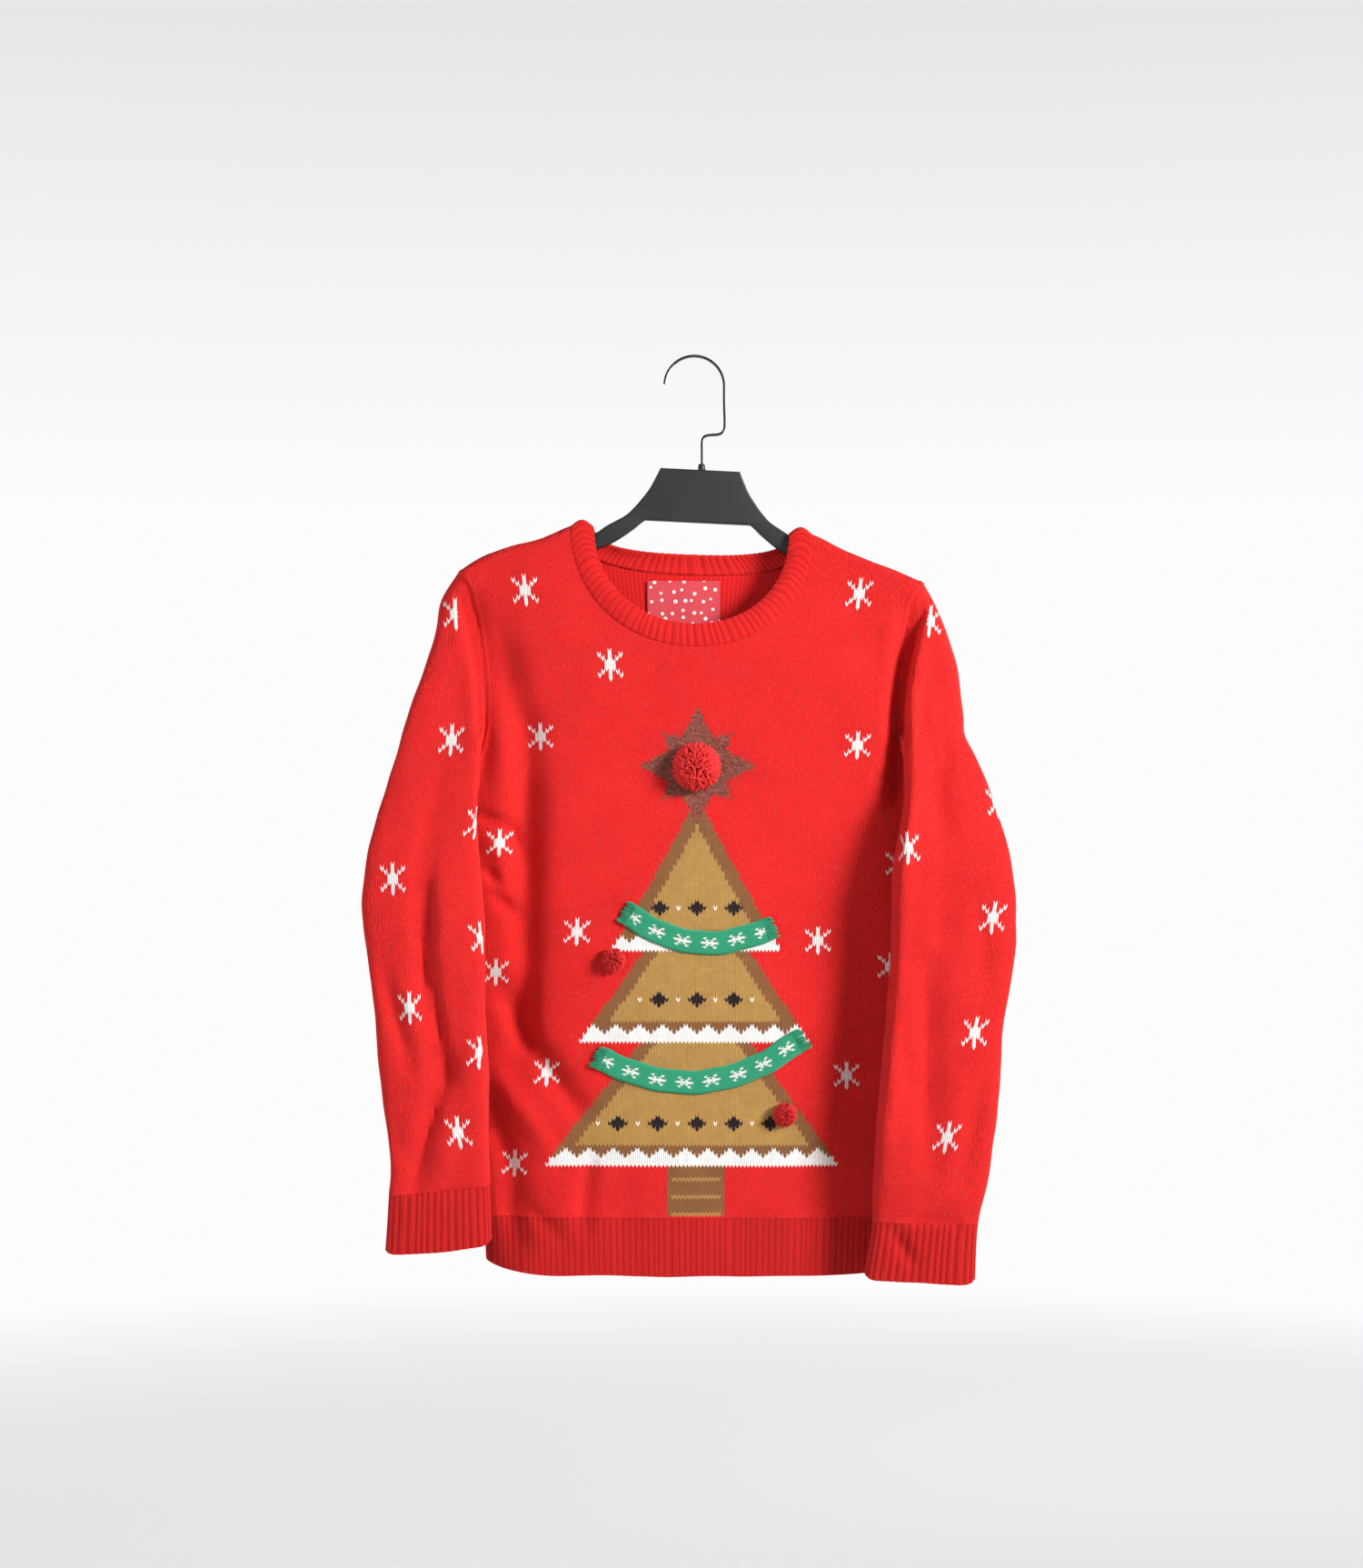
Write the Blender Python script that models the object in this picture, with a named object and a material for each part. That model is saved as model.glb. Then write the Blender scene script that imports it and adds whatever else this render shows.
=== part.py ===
"""A knitted Christmas jumper hanging on a plain clothes hanger, one solid for each piece.

Metres, +Z up. The front of the jumper faces -Y, and left is -X, as seen from the front.
The origin is the underside of the hook's crown, where a peg holds the hanger.

Every panel is a smooth form sampled on a grid of rows and columns. Neighbouring panels share the
points of their seam, and each is then thickened inwards and drawn back from the seam.

The front's and back's columns fan out from the neckline to the rim, which runs from the left
shoulder tip down the armhole and the side, along the hem and up the other side. A place on the
rim is a number: 0 to 1 down the left armhole, 1 to 2 down the left side, 2 to 4 along the hem,
4 to 5 up the right side and 5 to 6 up the right armhole.
"""

import math

import bmesh
import bpy
import numpy as np

# ---- Cloth ----
CLOTH = 0.0020  # the knitted panels
RIB_CLOTH = 0.0030  # the ribbed welts
NECKBAND_CLOTH = 0.0032  # rib folded double
SEAM_GAP = 0.0003
LEFT, RIGHT = -1, 1
FRONT, BACK = -1, 1

# ---- Body ----
HEM_SEAM_Z = -0.732  # where the panels meet the hem rib
HEM_Z = -0.7820
HEM_CORNER_RISE = 0.012  # the rib's lower edge rounds up to the side seams
TIP_Z = {LEFT: -0.1850, RIGHT: -0.1930}  # shoulder tips, the hanger leans to the right
UNDERARM = 0.625  # share of the height from the hem seam to the shoulder tip
SHOULDER_DEPTH = 0.0125  # half the depth of the ridge that lies over the hanger
SHOULDER_ROUND = 0.009  # height over which that ridge rounds off
SHOULDER_FADE = 0.110  # drop below the shoulder over which the full depth is reached

# Columns: height, half width, middle, depth of the side seam, front depth, back depth and the
# width over which the front and the back round off into the side seam.
BODY_SECTIONS = np.array([
    (-0.782, 0.1845, 0.0090, 0.004, 0.021, 0.012, 0.050),
    (-0.732, 0.1870, 0.0090, 0.004, 0.023, 0.012, 0.060),
    (-0.620, 0.1980, 0.0065, 0.006, 0.029, 0.011, 0.085),
    (-0.500, 0.2110, 0.0030, 0.006, 0.032, 0.011, 0.090),
    (-0.390, 0.2185, 0.0010, 0.004, 0.031, 0.012, 0.085),
    (-0.320, 0.2130, 0.0000, 0.002, 0.028, 0.013, 0.060),
    (-0.250, 0.2060, -0.0005, 0.000, 0.022, 0.013, 0.030),
    (-0.185, 0.1990, -0.0010, 0.000, 0.014, 0.012, 0.012),
])

# Shoulder lines from the tip to the neckband. Columns: x, height.
SHOULDER = {
    LEFT: np.array([
        (-0.2000, -0.1850), (-0.1900, -0.1782), (-0.1760, -0.1702),
        (-0.1550, -0.1618), (-0.1290, -0.1552), (-0.1034, -0.1441),
    ]),
    RIGHT: np.array([
        (0.1034, -0.1513), (0.1213, -0.1598), (0.1468, -0.1712),
        (0.1725, -0.1812), (0.1880, -0.1880), (0.1980, -0.1930),
    ]),
}

# How far each armhole seam lies inside the outline. Columns: share of the drop from the
# shoulder tip to the underarm, inset of the front, inset of the back.
ARMHOLE = np.array([
    (0.00, 0.0000, 0.0000),
    (0.05, 0.0095, 0.0070),
    (0.15, 0.0175, 0.0130),
    (0.30, 0.0265, 0.0190),
    (0.50, 0.0345, 0.0240),
    (0.66, 0.0370, 0.0235),
    (0.80, 0.0310, 0.0165),
    (0.91, 0.0180, 0.0080),
    (1.00, 0.0000, 0.0000),
])

# ---- Neck ----
NECK_Z = -0.1477  # the neckband seam, at the shoulder
NECK_TILT = 0.035  # fall of the neck to the right
NECK_HALF = 0.1034
NECK_DROP = {FRONT: 0.1005, BACK: 0.0380}
NECK_SQUARE = {FRONT: 2.10, BACK: 2.50}  # 2 is an ellipse, more is squarer
# How each half's columns run. Columns: place on the rim, degrees round the neckline where the
# column leaves it, share of the bend, and how it comes in from the rim, towards the middle and up.
COLUMN_FAN = np.array([
    (0.0, 0.0, 0.0, 0.040, 0.005),
    (0.1, 11.0, 0.5, 0.040, 0.005),
    (0.3, 24.0, 1.0, 0.040, 0.004),
    (0.7, 36.0, 1.0, 0.034, 0.008),
    (0.9, 44.0, 1.0, 0.040, -0.004),
    (1.0, 49.0, 1.0, 0.046, -0.012),
    (1.5, 60.0, 1.0, 0.070, 0.006),
    (2.0, 69.0, 1.0, 0.056, 0.056),
    (2.3, 76.0, 1.0, 0.020, 0.100),
    (3.0, 90.0, 1.0, 0.000, 0.150),
])
INNER_NECK_HALF = 0.0840  # the neckband's free edge
INNER_NECK_DROP = {FRONT: 0.0820, BACK: 0.0215}
INNER_NECK_Z = -0.1470
INNER_NECK_LEAN = 0.92  # its depth as a share of the seam's
NECKBAND_CROWN = 0.0058  # how far the band bulges at the shoulders
NECKBAND_BULGE = 0.0016  # and at the front and back

# ---- Sleeves ----
# Sections below the underarm. Columns: height of the middle, outer x, inner x, depth of the
# middle, front depth, rear depth, slope from the outer to the inner edge.
SLEEVE_SECTIONS = {
    LEFT: np.array([
        (-0.756, -0.2575, -0.1680, -0.031, 0.0180, 0.0120, 0.10),
        (-0.7045, -0.2540, -0.1694, -0.033, 0.0230, 0.0150, 0.10),
        (-0.678, -0.2526, -0.1700, -0.034, 0.0255, 0.0165, 0.09),
        (-0.645, -0.2564, -0.1710, -0.034, 0.0270, 0.0175, 0.07),
        (-0.599, -0.2610, -0.1717, -0.035, 0.0290, 0.0185, 0.04),
        (-0.543, -0.2672, -0.1733, -0.035, 0.0300, 0.0190, 0.02),
        (-0.505, -0.2726, -0.1740, -0.035, 0.0310, 0.0200, 0.00),
        (-0.470, -0.2757, -0.1748, -0.035, 0.0310, 0.0200, 0.00),
        (-0.423, -0.2710, -0.1779, -0.034, 0.0310, 0.0195, 0.00),
    ]),
    RIGHT: np.array([
        (-0.7820, 0.2380, 0.1450, -0.032, 0.0190, 0.0120, 0.04),
        (-0.7310, 0.2402, 0.1520, -0.034, 0.0240, 0.0150, 0.02),
        (-0.684, 0.2500, 0.1548, -0.035, 0.0265, 0.0170, 0.00),
        (-0.649, 0.2540, 0.1567, -0.036, 0.0280, 0.0180, 0.00),
        (-0.600, 0.2587, 0.1625, -0.036, 0.0290, 0.0185, 0.00),
        (-0.5606, 0.2626, 0.1663, -0.036, 0.0300, 0.0190, 0.00),
        (-0.515, 0.2695, 0.1700, -0.036, 0.0310, 0.0200, 0.00),
        (-0.468, 0.2716, 0.1729, -0.036, 0.0310, 0.0200, 0.00),
        (-0.423, 0.2664, 0.1763, -0.035, 0.0310, 0.0195, 0.00),
    ]),
}
# Outer edge from the shoulder tip to the first section. Columns: share of the drop, distance out.
SLEEVE_OUTER = {
    LEFT: np.array([
        (0.00, 0.2000), (0.09, 0.2133), (0.19, 0.2175), (0.43, 0.2356),
        (0.62, 0.2487), (0.80, 0.2618), (1.00, 0.2710),
    ]),
    RIGHT: np.array([
        (0.00, 0.1980), (0.08, 0.2090), (0.18, 0.2176), (0.38, 0.2290), (0.50, 0.2312),
        (0.56, 0.2316), (0.63, 0.2392), (0.75, 0.2512), (0.87, 0.2608), (1.00, 0.2664),
    ]),
}
# How each line of the sleeve leaves the armhole. Columns: place round the armhole, from the tip
# (0) down the front to the underarm (1) and up the back (2), then the lead out, forward and down.
SLEEVE_LEAD = np.array([
    (0.00, 0.030, 0.002, 0.100),
    (0.25, 0.024, 0.012, 0.070),
    (0.47, 0.020, 0.023, 0.050),
    (0.76, 0.000, 0.033, 0.038),
    (0.90, 0.000, 0.016, -0.0215),
    (1.00, 0.0145, 0.015, -0.0115),
    (1.06, 0.037, -0.0075, 0.016),
    (1.14, 0.032, -0.0005, 0.032),
    (1.53, 0.031, -0.002, 0.049),
    (1.80, 0.034, -0.002, 0.075),
    (2.00, 0.030, 0.002, 0.100),
])
UNDERARM_ANGLE = math.radians(265)  # where the sleeve's seam runs, from its outer edge by the front
SLEEVE_SQUARE = 2.3

# ---- Folds ----
# Columns: from x, z, to x, z, width, depth (below 0 is a ridge).
FRONT_FOLDS = np.array([
    (-0.131, -0.320, -0.128, -0.480, 0.022, 0.0050),
    (-0.150, -0.540, -0.136, -0.610, 0.026, 0.0060),
    (-0.144, -0.600, -0.098, -0.675, 0.013, -0.0040),
    (-0.158, -0.708, -0.128, -0.752, 0.012, 0.0040),
    (0.160, -0.420, 0.152, -0.700, 0.024, 0.0070),
])
BACK_FOLDS = np.array([
    (-0.120, -0.330, -0.138, -0.500, 0.024, 0.0040),
    (0.118, -0.350, 0.140, -0.560, 0.026, 0.0045),
    (0.020, -0.480, 0.034, -0.690, 0.030, -0.0040),
])
SLEEVE_FOLDS = {
    LEFT: np.array([
        (-0.217, -0.415, -0.224, -0.625, 0.011, 0.0060),
        (-0.250, -0.530, -0.232, -0.625, 0.012, 0.0050),
    ]),
    RIGHT: np.array([
        (0.214, -0.400, 0.206, -0.600, 0.011, 0.0050),
        (0.240, -0.330, 0.205, -0.372, 0.012, 0.0055),
    ]),
}

# ---- Grid lines ----
ARMHOLE_PLACES = (0.0, 0.011, 0.034, 0.09, 0.20, 0.36, 0.54, 0.72, 0.85, 0.94)
SIDE_PLACES = (1.0, 1.12, 1.30, 1.52, 1.76)
HEM_PLACES = (2.0, 2.025, 2.10, 2.25, 2.48, 2.74)
PANEL_ROWS = (1.0, 0.989, 0.956, 0.90, 0.81, 0.64, 0.42, 0.20, 0.0)  # from the rim to the neck
HEM_ROWS = 2
CAP_STEPS = (0.0, 0.10, 0.24, 0.42, 0.62, 0.82)  # along the sleeve's cap
SLEEVE_ROWS = 7  # from the cap to the cuff
CUFF_ROWS = 2
NECKBAND_ROWS = 4

# ---- Hanger ----
HANGER_TOP = (0.0075, -0.0966)  # middle of the block's top edge, x and height
HANGER_LEAN = math.radians(2.8)
HANGER_THICK = 0.010
HANGER_EDGE = 0.0015  # rounded edges
ARM_REST_GAP = 0.0018  # between the arms and the cloth that lies on them
ARM_DEEP = 0.0142
ARM_STATIONS = (0.128, 0.142, 0.158, 0.172, 0.180)  # where the arms follow the shoulders
ARM_END = 0.184
# Half of the block's outline, in its own frame. Columns: half width, height.
HANGER_UPPER = ((0.0339, 0.0), (0.0388, -0.0108), (0.0430, -0.0190), (0.0498, -0.0286),
                (0.0560, -0.0362), (0.0626, -0.0424), (0.0765, -0.0508), (0.0925, -0.0606))
HANGER_LOWER = ((0.0450, -0.0450), (0.0495, -0.0486), (0.0550, -0.0536), (0.0694, -0.0642),
                (0.0870, -0.0730), (0.1000, -0.0776))

HOOK_WIDE = 0.0060  # a flat strip, seen on edge
HOOK_THICK = 0.0018
HOOK_RADIUS = 0.0246  # inside the crown
HOOK_MIDDLE_X = 0.0023
HOOK_STEM_X = 0.0088
HOOK_BEND_Z = (-0.0672, -0.0600)  # the step between the stem and the hook
HOOK_TURN = (-38.0, 176.0)  # from the shank to the free end, in degrees above +X
NUB_RADIUS = 0.0034
NUB_HIGH = 0.0050

# ---- Applied pieces ----
LABEL_BOX = (-0.0377, 0.0246, -0.2280, -0.1905)  # left, right, bottom, top
LABEL_CLOTH = 0.0006
LAID_GAP = 0.0005  # between a panel and what lies on it
GARLAND_CLOTH = 0.0022
GARLAND_WIDE = 0.0210
# Swags of knitted ribbon on the front. Columns: x, height.
GARLANDS = {
    "garland_upper": ((-0.060, -0.4700), (-0.024, -0.4915), (0.016, -0.4990), (0.056, -0.4905),
                      (0.072, -0.4840)),
    "garland_lower": ((-0.084, -0.5930), (-0.050, -0.6085), (0.000, -0.6170), (0.050, -0.6060),
                      (0.098, -0.5770)),
}
# Columns: x, height, half width, half depth.
POMPOMS = {
    "pompom_star": (0.0040, -0.3500, 0.0215, 0.0125),
    "pompom_left": (-0.0660, -0.5130, 0.0110, 0.0080),
    "pompom_right": (0.0790, -0.6440, 0.0110, 0.0080),
}

# Columns: colour, roughness, metallic.
MATERIALS = {
    "red_knit": ((0.55, 0.012, 0.022), 0.90, 0.0),
    "red_rib": ((0.50, 0.010, 0.020), 0.90, 0.0),
    "green_knit": ((0.015, 0.24, 0.115), 0.90, 0.0),
    "red_yarn": ((0.60, 0.012, 0.030), 0.95, 0.0),
    "label_satin": ((0.60, 0.030, 0.060), 0.45, 0.0),
    "charcoal_plastic": ((0.028, 0.029, 0.031), 0.55, 0.0),
    "black_metal": ((0.012, 0.012, 0.013), 0.35, 1.0),
}


# ---- Curves and forms ----
def smooth(table, at):
    """The other columns of a table at places in its first column, on smooth curves."""
    table = np.asarray(table, float)
    knots, values = table[:, 0], table[:, 1:]
    slopes = np.gradient(values, knots, axis=0)
    at = np.clip(np.asarray(at, float), knots[0], knots[-1])
    i = np.clip(np.searchsorted(knots, at, side="right") - 1, 0, len(knots) - 2)
    step = (knots[i + 1] - knots[i])[..., None]
    t = (at - knots[i])[..., None] / step
    found = (
        values[i] * (1 + 2 * t) * (1 - t) ** 2
        + values[i + 1] * t**2 * (3 - 2 * t)
        + slopes[i] * step * t * (1 - t) ** 2
        - slopes[i + 1] * step * t**2 * (1 - t)
    )
    return np.moveaxis(found, -1, 0)


def ease(share):
    share = np.clip(share, 0, 1)
    return share * share * (3 - 2 * share)


def quarter(share, square=2.0):
    """A quarter round from 0 at an edge to 1 at its full depth."""
    return (1 - (1 - np.clip(share, 0, 1)) ** square) ** (1 / square)


def folds(x, z, table):
    """How far the folds of a table move a point inwards."""
    moved = np.zeros(np.shape(x))
    for from_x, from_z, to_x, to_z, width, depth in table:
        run_x, run_z = to_x - from_x, to_z - from_z
        along = ((x - from_x) * run_x + (z - from_z) * run_z) / (run_x**2 + run_z**2)
        along = np.clip(along, 0, 1)
        away = np.hypot(x - from_x - along * run_x, z - from_z - along * run_z)
        moved += depth * (0.4 + 0.6 * np.sin(math.pi * along)) * np.exp(-((away / width) ** 2))
    return moved


def shoulder_height(x):
    left, right = (smooth(SHOULDER[side], x)[0] for side in (LEFT, RIGHT))
    return np.where(np.asarray(x) < 0, left, right)


def form(x, z, face):
    """The depth of the front or back panel's outer surface."""
    half, middle, side_y, front, back, side_round = smooth(BODY_SECTIONS, z)
    drop = shoulder_height(x) - z
    depth = front if face == FRONT else back
    depth = SHOULDER_DEPTH + (depth - SHOULDER_DEPTH) * ease(drop / SHOULDER_FADE)
    edge = quarter((half - np.abs(x - middle)) / side_round)
    crest = quarter(drop / SHOULDER_ROUND, 2.6)
    table = FRONT_FOLDS if face == FRONT else BACK_FOLDS
    return side_y + face * edge * crest * (depth - folds(x, z, table))


def rim(face, place):
    """x and z of places on the rim of the front or back."""
    place = np.asarray(place, float)
    side = np.where(place < 3, LEFT, RIGHT)
    down = np.where(place < 3, place, 6 - place)
    tip_z = np.where(side == LEFT, TIP_Z[LEFT], TIP_Z[RIGHT])
    underarm_z = HEM_SEAM_Z + UNDERARM * (tip_z - HEM_SEAM_Z)
    z = tip_z + (underarm_z - tip_z) * np.clip(down, 0, 1)
    z = z + (HEM_SEAM_Z - underarm_z) * np.clip(down - 1, 0, 1)
    half, middle = smooth(BODY_SECTIONS, z)[:2]
    inset = smooth(ARMHOLE, np.clip(down, 0, 1))[0 if face == FRONT else 1]
    return middle + side * (half - inset) * (1 - np.clip(down - 2, 0, 1)), z


def neck_turn(place):
    """The angle round the neckline, from its left end, of the column that leads to a place."""
    place = np.asarray(place, float)
    turn = np.radians(smooth(COLUMN_FAN, np.where(place < 3, place, 6 - place))[0])
    return np.where(place < 3, turn, math.pi - turn)


def neck_loop(turn, half, drop, square, height):
    """x and z of half a neckline, from its left end (turn 0) to its right end (turn pi)."""
    across = -np.sign(np.cos(turn)) * np.abs(np.cos(turn)) ** (2 / square) * half
    return across, height - NECK_TILT * across - drop * np.abs(np.sin(turn)) ** (2 / square)


def neck_seam(face, place):
    return neck_loop(neck_turn(place), NECK_HALF, NECK_DROP[face], NECK_SQUARE[face], NECK_Z)


def panel(face, places, rows):
    """The outer surface of the front or back: rows from the rim (1) to the neck (0)."""
    u, v = np.asarray(places, float)[None, :] / 6, np.asarray(rows, float)[:, None]
    bent, inwards, up = smooth(COLUMN_FAN, np.where(places < 3, places, 6 - places))[1:]
    inwards = inwards * np.where(places < 3, 1, -1)
    across = []
    neck, edge = neck_seam(face, places), rim(face, places)
    for k, come_in in ((0, inwards), (1, up)):
        inner, outer = neck[k][None, :], edge[k][None, :]
        spread = (1 - v) * inner + v * outer
        spread = spread + 2 * v * (1 - v) * bent * (outer + come_in - (inner + outer) / 2)
        for side, share, end in ((LEFT, 1 - u, 0), (RIGHT, u, 6)):
            tip, start = rim(face, end), neck_seam(face, end)
            shoulder_x = start[0] + (tip[0] - start[0]) * v
            shoulder = (shoulder_x, shoulder_height(shoulder_x))[k]
            spread = spread + share * (shoulder - start[k] - (tip[k] - start[k]) * v)
        across.append(spread)
    x, z = across
    return np.stack([x, form(x, z, face), z], axis=-1)


def hem_ring(places, level):
    """A ring of the hem rib, from its lower edge (0) to the panels (1): front, then back."""
    rings = []
    for face, around in ((FRONT, places), (BACK, places[::-1][1:-1])):
        share = np.asarray(around, float) - 3  # -1 at the left side seam, 1 at the right
        z = HEM_Z + HEM_CORNER_RISE * np.abs(share) ** 7
        z = z + (HEM_SEAM_Z - z) * level
        half, middle = smooth(BODY_SECTIONS, z)[:2]
        x = middle + half * share
        rings.append(np.stack([x, form(x, z, face), z], axis=-1))
    return np.concatenate(rings)


def armhole(side, round_it):
    """Points of the armhole seam, from the tip (0) by the front to the underarm (1) and back (2)."""
    round_it = np.asarray(round_it, float)
    points = np.empty(round_it.shape + (3,))
    for face, here in ((FRONT, round_it <= 1), (BACK, round_it > 1)):
        fallen = round_it[here] if face == FRONT else 2 - round_it[here]
        x, z = rim(face, fallen if side == LEFT else 6 - fallen)
        points[here] = np.stack([x, form(x, z, face), z], axis=-1)
    return points


def sleeve_angle(round_it):
    """Where a line of the sleeve runs on its sections, from the outer edge by the front."""
    round_it = np.asarray(round_it, float)
    rear = 2 * math.pi - UNDERARM_ANGLE
    return np.where(
        round_it <= 1,
        UNDERARM_ANGLE * np.clip(round_it, 0, 1) ** 0.8,
        2 * math.pi - rear * np.clip(2 - round_it, 0, 1) ** 0.7,
    )


def sleeve_section(side, z, angle):
    """A ring of the free sleeve at one height."""
    outer, inner, mid_y, front, rear, slope = smooth(SLEEVE_SECTIONS[side], z)
    round_x, round_y = np.cos(angle), np.sin(angle)
    power = 2 / SLEEVE_SQUARE
    share_x = np.sign(round_x) * np.abs(round_x) ** power
    share_y = np.sign(round_y) * np.abs(round_y) ** power
    x = (outer + inner) / 2 + (outer - inner) / 2 * share_x
    y = mid_y - np.where(round_y > 0, front, rear) * share_y
    level = z - slope * np.abs(outer - inner) / 2 * share_x
    y = y + folds(x, level, SLEEVE_FOLDS[side]) * np.clip(round_y, 0, 1)
    return np.stack([x, y, level], axis=-1)


def sleeve(side, round_it, cap_steps, levels):
    """The outer surface of a sleeve: rows from the armhole down, columns round it."""
    start, angle = armhole(side, round_it), sleeve_angle(round_it)
    first_z = SLEEVE_SECTIONS[side][-1, 0]
    first = sleeve_section(side, first_z, angle)
    out, forward, down = smooth(SLEEVE_LEAD, round_it)
    lead = start + np.stack([side * out, -forward, -down], axis=-1)
    rows = []
    for step in cap_steps:
        row = (1 - step) ** 2 * start + 2 * step * (1 - step) * lead + step**2 * first
        edge_z = TIP_Z[side] + (first_z - TIP_Z[side]) * step
        fallen = (TIP_Z[side] - row[0, 2]) / (TIP_Z[side] - first_z)
        edge_x = side * smooth(SLEEVE_OUTER[side], fallen)[0]
        near_edge = np.clip(np.cos(angle), 0, 1) ** 0.7 * (edge_z < TIP_Z[side])
        row[:, 0] += near_edge * (edge_x - row[0, 0])
        row[:, 1] += folds(row[:, 0], row[:, 2], SLEEVE_FOLDS[side]) * step * np.clip(
            np.sin(angle), 0, 1)
        rows.append(row)
    rows += [sleeve_section(side, z, angle) for z in levels]
    return np.array(rows)


def neckband(places, rows):
    """The outer surface of the neckband: rows from its seam to its free edge, columns round it."""
    seams, edges, outwards = [], [], []
    for face, around in ((FRONT, places), (BACK, places[::-1][1:-1])):
        turn = neck_turn(around)
        x, z = neck_seam(face, around)
        y = form(x, z, face)
        seams.append(np.stack([x, y, z], axis=-1))
        x, z = neck_loop(turn, INNER_NECK_HALF, INNER_NECK_DROP[face], NECK_SQUARE[face],
                         INNER_NECK_Z)
        edges.append(np.stack([x, y * INNER_NECK_LEAN, z], axis=-1))
        level = np.abs(np.cos(turn))
        outwards.append(np.stack([0 * x, face * np.sin(turn), level], axis=-1)
                        * (NECKBAND_BULGE + (NECKBAND_CROWN - NECKBAND_BULGE) * level**3)[:, None])
    seam, edge, outward = (np.concatenate(found) for found in (seams, edges, outwards))
    return np.array([
        seam + (edge - seam) * row + outward * math.sin(math.pi * row)
        for row in np.linspace(0, 1, rows)
    ])


# ---- Solids ----
def grid_faces(rows, columns, closed):
    """The quads of a grid of points, whose columns may close into a ring."""
    faces = []
    for i in range(rows - 1):
        for j in range(columns if closed else columns - 1):
            right = (j + 1) % columns
            faces.append((i * columns + j, i * columns + right,
                          (i + 1) * columns + right, (i + 1) * columns + j))
    return faces


def seam_normals(sheets):
    """Unit normals for every point of every sheet, the same where sheets share a point."""
    sums = {}
    for points, closed in sheets.values():
        flat = points.reshape(-1, 3)
        for face in grid_faces(*points.shape[:2], closed):
            a, b, c, d = flat[list(face)]
            normal = np.cross(c - a, d - b)
            normal /= np.linalg.norm(normal)
            for corner in face:
                key = tuple(np.round(flat[corner], 6))
                sums[key] = sums.get(key, 0) + normal
    return {
        name: np.array([
            sums[tuple(np.round(point, 6))] / np.linalg.norm(sums[tuple(np.round(point, 6))])
            for point in points.reshape(-1, 3)
        ]).reshape(points.shape)
        for name, (points, _) in sheets.items()
    }


def drawn_back(points, closed):
    """The same grid with its seam edges half a seam gap shorter."""
    points = points.copy()

    def pull(edge, inner, ring):
        ahead, behind = np.roll(edge, -1, axis=0), np.roll(edge, 1, axis=0)
        if not ring:
            ahead[-1], behind[0] = edge[-1], edge[0]
        along = ahead - behind
        along /= np.linalg.norm(along, axis=-1, keepdims=True)
        run = inner - edge
        run -= (run * along).sum(-1, keepdims=True) * along  # square to the seam
        return edge + run / np.linalg.norm(run, axis=-1, keepdims=True) * SEAM_GAP / 2

    first, last = pull(points[0], points[1], closed), pull(points[-1], points[-2], closed)
    points[0], points[-1] = first, last
    if not closed:
        left, right = (pull(points[:, a], points[:, b], False) for a, b in ((0, 1), (-1, -2)))
        points[:, 0], points[:, -1] = left, right
    return points


def add_object(name, mesh, slot):
    mesh.shade_smooth()
    mesh.set_sharp_from_angle(angle=math.radians(50))
    mesh.materials.append(materials[slot])
    made = bpy.data.objects.new(name, mesh)
    bpy.context.collection.objects.link(made)
    return made


def add_shell(name, outer, inner, closed, slot):
    """A closed wall between two grids of points. Walls that meet split their ends alike."""
    rows, columns = outer.shape[:2]
    count = rows * columns
    heights = outer.reshape(-1, 3) @ (0.31, 0.17, 1.0)
    faces = grid_faces(rows, columns, closed)
    faces += [tuple(count + corner for corner in reversed(face)) for face in faces]
    bottom = list(range(columns))
    top = [(rows - 1) * columns + j for j in range(columns)]
    if closed:
        loops = [bottom + bottom[:1], (top + top[:1])[::-1]]
    else:
        right = [i * columns + columns - 1 for i in range(rows)]
        left = [i * columns for i in range(rows)]
        loops = [bottom + right[1:] + top[::-1][1:] + left[::-1][1:]]
    for loop in loops:
        for a, b in zip(loop, loop[1:]):
            if heights[a] > heights[b]:
                faces += [(b, a, count + b), (a, count + a, count + b)]
            else:
                faces += [(b, a, count + a), (b, count + a, count + b)]
    mesh = bpy.data.meshes.new(name)
    mesh.from_pydata(np.concatenate([outer.reshape(-1, 3), inner.reshape(-1, 3)]).tolist(),
                     [], faces)
    shell = bmesh.new()
    shell.from_mesh(mesh)
    bmesh.ops.recalc_face_normals(shell, faces=shell.faces)
    shell.to_mesh(mesh)
    shell.free()
    return add_object(name, mesh, slot)


def add_prism(name, outline, depth, rounding, slot):
    """An outline in x and z, extruded along Y about Y = 0, with rounded edges."""
    shape = bmesh.new()
    face = shape.faces.new([shape.verts.new((x, -depth / 2, z)) for x, z in outline])
    grown = bmesh.ops.extrude_face_region(shape, geom=[face])
    moved = [part for part in grown["geom"] if isinstance(part, bmesh.types.BMVert)]
    bmesh.ops.translate(shape, verts=moved, vec=(0, depth, 0))
    bmesh.ops.recalc_face_normals(shape, faces=shape.faces)
    rims = [edge for edge in shape.edges if abs(edge.verts[0].co.y - edge.verts[1].co.y) < depth / 2]
    bmesh.ops.bevel(shape, geom=rims, offset=rounding, segments=2, profile=0.5, affect="EDGES")
    mesh = bpy.data.meshes.new(name)
    shape.to_mesh(mesh)
    shape.free()
    return add_object(name, mesh, slot)


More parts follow.
